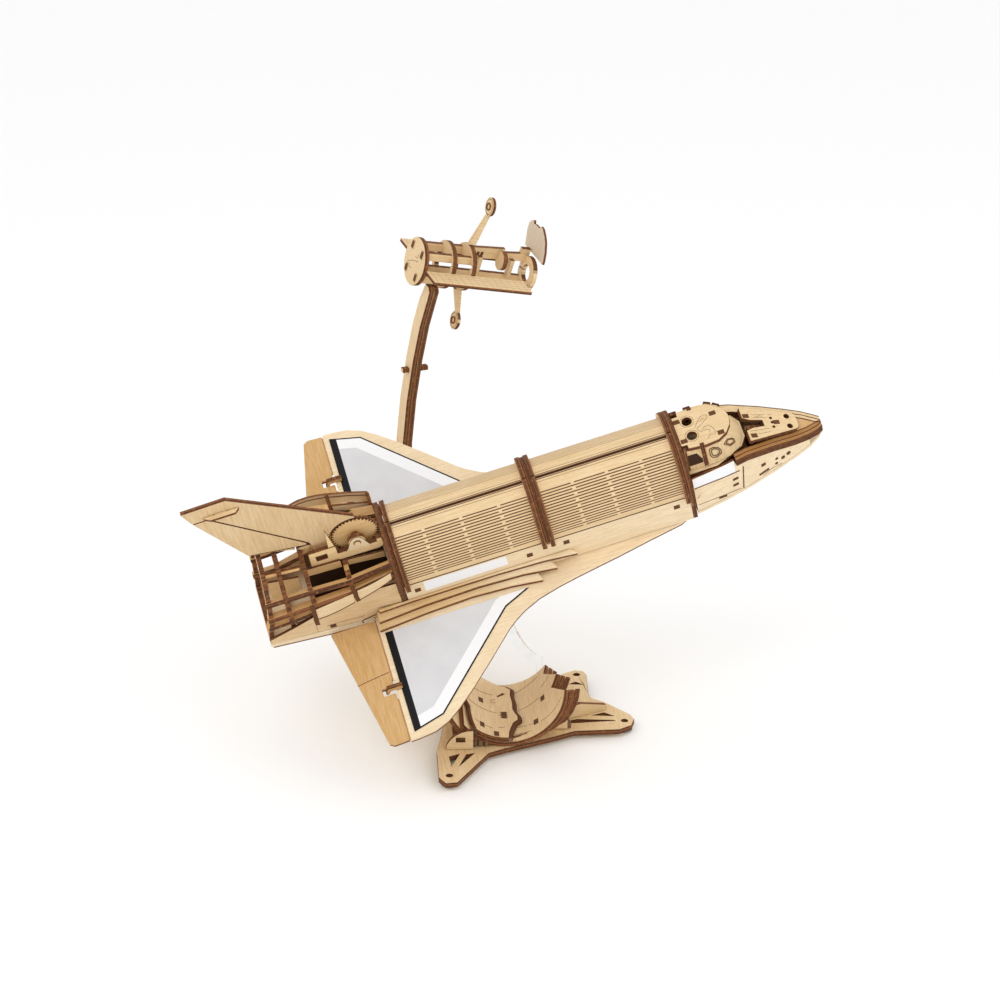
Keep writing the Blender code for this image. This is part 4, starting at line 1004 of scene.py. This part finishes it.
# Satellite fittings
# The frame is a disc, two open hoops, a small disc and a ring slotted on rails,
# whose burnt ends show in the disc. The solar panels carry a faint engraved grid.

SATELLITE = Matrix.LocRotScale(Vector(SATELLITE_POSE[0]), Euler(SATELLITE_POSE[1]), None)


def rear_face(x, z=0.0):
    """Face that looks to the rear of the telescope, u to its right and v up."""
    return face_on(SATELLITE, (x, 0.0, z), (0.0, -1.0, 0.0), AXIS_Z)


def cross_sheet(x, outline, thick=SHEET):
    return cut_sheet(rear_face(x + thick), outline, thick)


def rail(y, outline):
    return cut_sheet(side_face(y + SHEET / 2, SATELLITE), outline, SHEET)


scorched_disc = birch("scorched_disc", SATELLITE_POSE, FLAT, ALONG_X, scored=BURNT)
rail_ends = [shift(rear_face(-2.0), u, v) for u in (-8.0, 8.0) for v in (-8.0, 8.0)]
settle(spread(tab_end(3.1, 4.6), rail_ends), "end_disc_tabs", scorched_disc)
marks = (((-9.6, -4.7), (-4.8, -1.7), (1.3, 0.8), (5.7, 2.1)), ((-6.3, -3.9), (-5.2, -6.2), (-1.7, -5.7)),
         ((-0.5, 3.0), (2.5, 3.3), (3.4, 6.6)))
seam("end_disc_scribes", drawn(rear_face(-1.5), marks), 0.3, scorched_disc)
holes = [shift(side_face(6.5, SATELLITE), x, z) for x, z in ((44.4, 7.2), (47.2, 7.3))]
settle(spread(tab_end(1.9, 2.5), holes), "rail_holes", scorched_disc)

DISC_RADIUS = 15.5
frame_parts = [
    cross_sheet(-1.5, arc(DISC_RADIUS, 0.0, 348.75, 31)),
    cross_sheet(58.5, [(u - 1.7, v + 5.9) for u, v in arc(6.2, 0.0, 342.0, 19)]),
    cross_sheet(78.6, arc(11.2, -178.0, 178.0, 30) + arc(5.5, 178.0, -178.0, 20)),
]
for x in (18.5, 32.5):
    # open hoops: a solid cap above the rails and thin legs below
    frame_parts.append(cross_sheet(x, arc(DISC_RADIUS, 20.0, 160.0, 14) + [(-8.0, 6.9), (8.0, 6.9)]))
    frame_parts.append(cross_sheet(x, arc(DISC_RADIUS, 20.0, -200.0, 24) + arc(11.6, -200.0, 20.0, 24)))
LOW_RAIL = ((-2.0, -10.6), (81.1, -10.6), (81.1, -5.4), (-2.0, -5.4))
TALL_RAIL = ((-2.0, 5.4), (36.0, 5.4), (36.0, 3.6), (81.1, 5.0), (81.1, 14.2), (74.6, 14.0), (74.6, 10.2),
             (63.0, 9.4), (63.0, 12.2), (36.0, 11.0), (-2.0, 10.6))
SHORT_RAIL = ((-2.0, 5.4), (37.0, 5.4), (37.0, 10.6), (-2.0, 10.6))
for y, outline in ((8.0, LOW_RAIL), (-8.0, LOW_RAIL), (8.0, TALL_RAIL), (-8.0, SHORT_RAIL)):
    frame_parts.append(rail(y, outline))
for x in (44.5, 67.5):
    frame_parts.append(cross_sheet(x, ((-7.4, -6.0), (-3.4, -6.0), (-3.4, 6.0), (-7.4, 6.0))))
telescope = joined(frame_parts)


def hoop_birch():
    """Discs and hoops lie across, rails along: told apart by where they are."""
    mat, tree, ply, place, facing = begin_birch("birch_hoops", SATELLITE_POSE, PALE, ALONG_X)
    away = aim(tree, "LENGTH", aim(tree, "MULTIPLY", place, (0.0, 1.0, 1.0)))
    x, y, z = split(tree, place)
    rim = calc(tree, "GREATER_THAN", away, 15.0 * MM)
    low_down = calc(tree, "LESS_THAN", calc(tree, "ABSOLUTE", z), 5.0 * MM)
    for low, high in ((17.5, 22.5), (31.5, 36.5)):
        rim = calc(tree, "MAXIMUM", rim, times(tree, within(tree, x, low * MM, high * MM), low_down))
    disc = times(tree, within(tree, x, 58.0 * MM, 62.0 * MM), calc(tree, "GREATER_THAN", z, -2.0 * MM),
                 calc(tree, "LESS_THAN", y, 6.3 * MM))
    across = calc(tree, "MAXIMUM", calc(tree, "MAXIMUM", rim, disc), cross_share(tree, facing))
    two_ways(tree, ply, across, UPRIGHT, ACROSS)
    return mat


settle(telescope, "telescope_frame", hoop_birch())
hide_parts("satellite_frame")
LID_EDGE = ((-11.7, 12.0), (-11.7, 14.5), (-10.1, 19.8), (-6.8, 25.3), (-3.1, 28.5), (1.6, 31.2),
            (4.5, 31.6), (5.9, 29.6), (12.2, 29.4), (14.5, 28.6), (16.0, 30.6), (19.4, 28.7),
            (21.3, 26.2), (21.0, 21.3), (19.5, 17.3), (17.6, 12.0))
lid = cross_sheet(81.9, [(-y, z) for y, z in LID_EDGE], 1.6)
settle(lid, "lid_plate", lid_birch, "aperture_door")
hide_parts("aperture_door")
panel_face = top_face(1.0, SATELLITE)
for label, sign in SIDES:
    grid = [((x, sign * 16.2), (x, sign * 31.1)) for x in [3.4 + 4.9 * i for i in range(14)]]
    grid += [((0.9, sign * y), (69.6, sign * y)) for y in (18.9, 21.9, 24.9, 27.9)]
    seam("panel_grid_" + label, drawn(panel_face, grid), 0.10, scorched_disc)
for label, height in (("upper", 43.0), ("lower", -38.5)):
    hub = rear_face(38.6, height)
    button = boss(2.4, 20, 1.1, 0.9, 0.7)
    button.data.transform(hub)
    settle(button, "dish_hub_" + label, birch("birch_hub_" + label, SATELLITE_POSE, ACROSS, ALONG_Z))
    seam("dish_ring_" + label, drawn(hub, (ring_line(0.0, 0.0, 4.9),)), 0.35, scorched_disc)


# Globe fittings
# Long curved grooves and the ends of tabs mark the sea and the land. The land's
# coast is a thick burnt edge, and layered blocks lock the sheets at the left.

GLOBE = Matrix.LocRotScale(Vector(GLOBE_POSE[0]), Euler(GLOBE_POSE[1]), None)
SEA_FACE, LAND_FACE = 36.3, 33.0


def on_globe(angle, along, radius):
    """Spot at an angle round the globe's axis, from its lowest line, and a distance along it."""
    turn = math.radians(angle)
    reach = Vector((radius * math.sin(turn), along, -radius * math.cos(turn)))
    return GLOBE @ (Vector(GLOBE_AXIS) + reach * MM)


def globe_spot(angle, along, radius, turn=0.0):
    """Place on the bent sheet that looks at the globe's axis."""
    lean = math.radians(angle)
    u = Vector((math.cos(lean), 0.0, math.sin(lean)))
    out = Vector((-math.sin(lean), 0.0, math.cos(lean)))
    basis = GLOBE.to_3x3() @ Matrix((u, out.cross(u), out)).transposed()
    turned = basis.to_4x4() @ Matrix.Rotation(math.radians(turn), 4, "Z")
    return Matrix.Translation(on_globe(angle, along, radius)) @ turned


def groove(start, end, radius, steps=10):
    a, b = Vector(start), Vector(end)
    return [on_globe(*a.lerp(b, i / steps), radius) for i in range(steps + 1)]


scorched_globe = birch("scorched_globe", GLOBE_POSE, UPRIGHT, ALONG_X, scored=BURNT)
SEA_GROOVES = (
    # angle and distance of its start, angle and distance of its end
    ((13.2, 15.5), (41.4, 24.2)), ((15.1, -10.2), (40.3, -5.4)), ((38.8, -37.6), (75.4, -40.9)),
    ((11.0, -32.3), (22.6, -33.7)), ((24.6, -34.0), (30.0, -34.6)), ((6.0, -41.1), (26.2, -42.5)),
    ((7.0, -43.0), (16.0, -42.6)), ((44.0, 6.0), (58.0, 10.0)),
)
LAND_GROOVES = (
    ((-34.4, 8.1), (-10.7, 7.9)), ((-45.6, -14.3), (-8.3, -17.5)), ((-38.8, -37.5), (-14.9, -39.9)),
    ((-6.2, 5.7), (4.5, 10.8)), ((-15.0, -1.1), (-8.8, 2.4)), ((-15.4, -4.0), (-9.0, -2.6)),
    ((-52.0, 14.0), (-30.0, 19.0)), ((-9.0, -38.0), (-1.0, -36.4)),
)
SEA_WEDGES = (((7.0, -44.5), (22.0, -43.6)), ((7.0, -46.0), (15.0, -44.8)))
LAND_WEDGES = (((-6.0, 6.4), (2.0, 10.4)), ((-5.0, 7.4), (1.0, 11.4)))
SEA_SLOTS = ((44.6, -9.8), (33.0, -34.1))
LAND_SLOTS = ((-26.9, -4.3), (-28.2, -39.5), (-11.5, -46.7), (-52.0, -12.0))


def globe_lines(name, wide, on_sea, on_land):
    strokes = [groove(a, b, SEA_FACE) for a, b in on_sea]
    strokes += [groove(a, b, LAND_FACE) for a, b in on_land]
    seam(name, strokes, wide, scorched_globe)


globe_lines("globe_grooves", 0.36, SEA_GROOVES, LAND_GROOVES)
slots = [globe_spot(angle, along, SEA_FACE) for angle, along in SEA_SLOTS]
slots += [globe_spot(angle, along, LAND_FACE) for angle, along in LAND_SLOTS]
settle(spread(tab_end(3.4, 6.6), slots), "globe_tab_ends", scorched_globe)
star = [globe_spot(-0.5, -19.7, LAND_FACE, turn) for turn in (0.0, 50.0, 130.0)]
settle(spread(tab_end(3.2, 9.4), star), "star_slot", scorched_globe)
globe_lines("globe_wedges", 0.9, SEA_WEDGES, LAND_WEDGES)
COAST = ((2.0, -51.0), (3.0, -44.0), (6.0, -37.0), (9.0, -31.0), (14.5, -28.0), (14.5, -23.0),
         (12.0, -18.0), (10.0, -12.0), (10.5, -3.0), (9.0, 8.0), (10.0, 16.0), (4.0, 21.0), (-5.0, 24.0))
ARCH = ((-62.0, 0.0), (-60.0, -9.0), (-45.4, -23.5), (-45.0, -32.5), (-42.2, -43.0), (-38.0, -50.6))
seam("coast_edge", [[on_globe(angle + 1.6, along, 35.0) for angle, along in COAST]], 3.2, scorched_globe)
seam("arch_edge", [[on_globe(angle, along, 34.0) for angle, along in ARCH]], 1.7, scorched_globe)
block = side_face(-48.4, GLOBE, -31.2, 6.9)
LOCK_BLOCKS = (
    # start, width, height
    (-1.4, 1.5, 13.6), (0.6, 1.6, 12.0), (3.6, 2.6, 7.0), (7.4, 2.4, 4.6),
)
for index, (u, wide, high) in enumerate(LOCK_BLOCKS):
    outline = ((u, 0.0), (u + wide, 0.0), (u + wide, high), (u, high))
    plate("lock_block_%d" % index, block, outline, 2.6, scorched_globe)
leg = ((28.0, 6.9), (34.0, 6.9), (34.0, 10.8), (30.8, 13.4), (28.0, 10.4))
plate("right_leg_tab", side_face(-24.0, GLOBE), leg, 2.6, scorched_globe)


# Floor, light and camera
# A pale studio floor under large soft lamps and an even white sky, seen from the
# photograph's side through a long lens.

bpy.ops.mesh.primitive_plane_add(size=6.0, location=(0.0, 0.0, 0.0))
floor = bpy.context.object
floor.name = "studio_floor"
pale = bpy.data.materials.new("studio_white")
pale.use_nodes = True
pale.node_tree.nodes["Principled BSDF"].inputs["Base Color"].default_value = (0.95, 0.95, 0.95, 1.0)
pale.node_tree.nodes["Principled BSDF"].inputs["Roughness"].default_value = 0.9
floor.data.materials.append(pale)

world = bpy.data.worlds.new("studio")
world.use_nodes = True
world.node_tree.nodes["Background"].inputs["Color"].default_value = (1.0, 1.0, 1.0, 1.0)
world.node_tree.nodes["Background"].inputs["Strength"].default_value = 1.0
bpy.context.scene.world = world


def softbox(name, place, aimed, size, power):
    lamp = bpy.data.lights.new(name, "AREA")
    lamp.size = size
    lamp.energy = power
    holder = bpy.data.objects.new(name, lamp)
    bpy.context.scene.collection.objects.link(holder)
    holder.location = place
    holder.rotation_euler = (Vector(aimed) - Vector(place)).to_track_quat("-Z", "Y").to_euler()


softbox("key_light", (-0.7, -0.9, 1.3), (0.0, 0.0, 0.15), 0.7, 4.0)
softbox("fill_light", (1.1, -0.8, 0.9), (0.0, 0.0, 0.15), 0.9, 2.5)

eye = bpy.data.cameras.new("photo_camera")
eye.sensor_width = 36.0
eye.lens = 111.95
eye.shift_x = 0.1
eye.shift_y = 0.0715
eye.clip_start = 0.1
eye.clip_end = 20.0
camera = bpy.data.objects.new("photo_camera", eye)
bpy.context.scene.collection.objects.link(camera)
forward = Vector((0.1026, 0.9005, -0.4226)).normalized()
rightward = Vector((0.9936, -0.1133, 0.0)).normalized()
upward = rightward.cross(forward).normalized()
turned = Matrix((rightward, upward, -forward)).transposed().to_4x4()
camera.matrix_world = Matrix.Translation((-0.270331, -1.809539, 0.9607)) @ turned
bpy.context.scene.camera = camera
bpy.context.scene.view_settings.view_transform = "Standard"
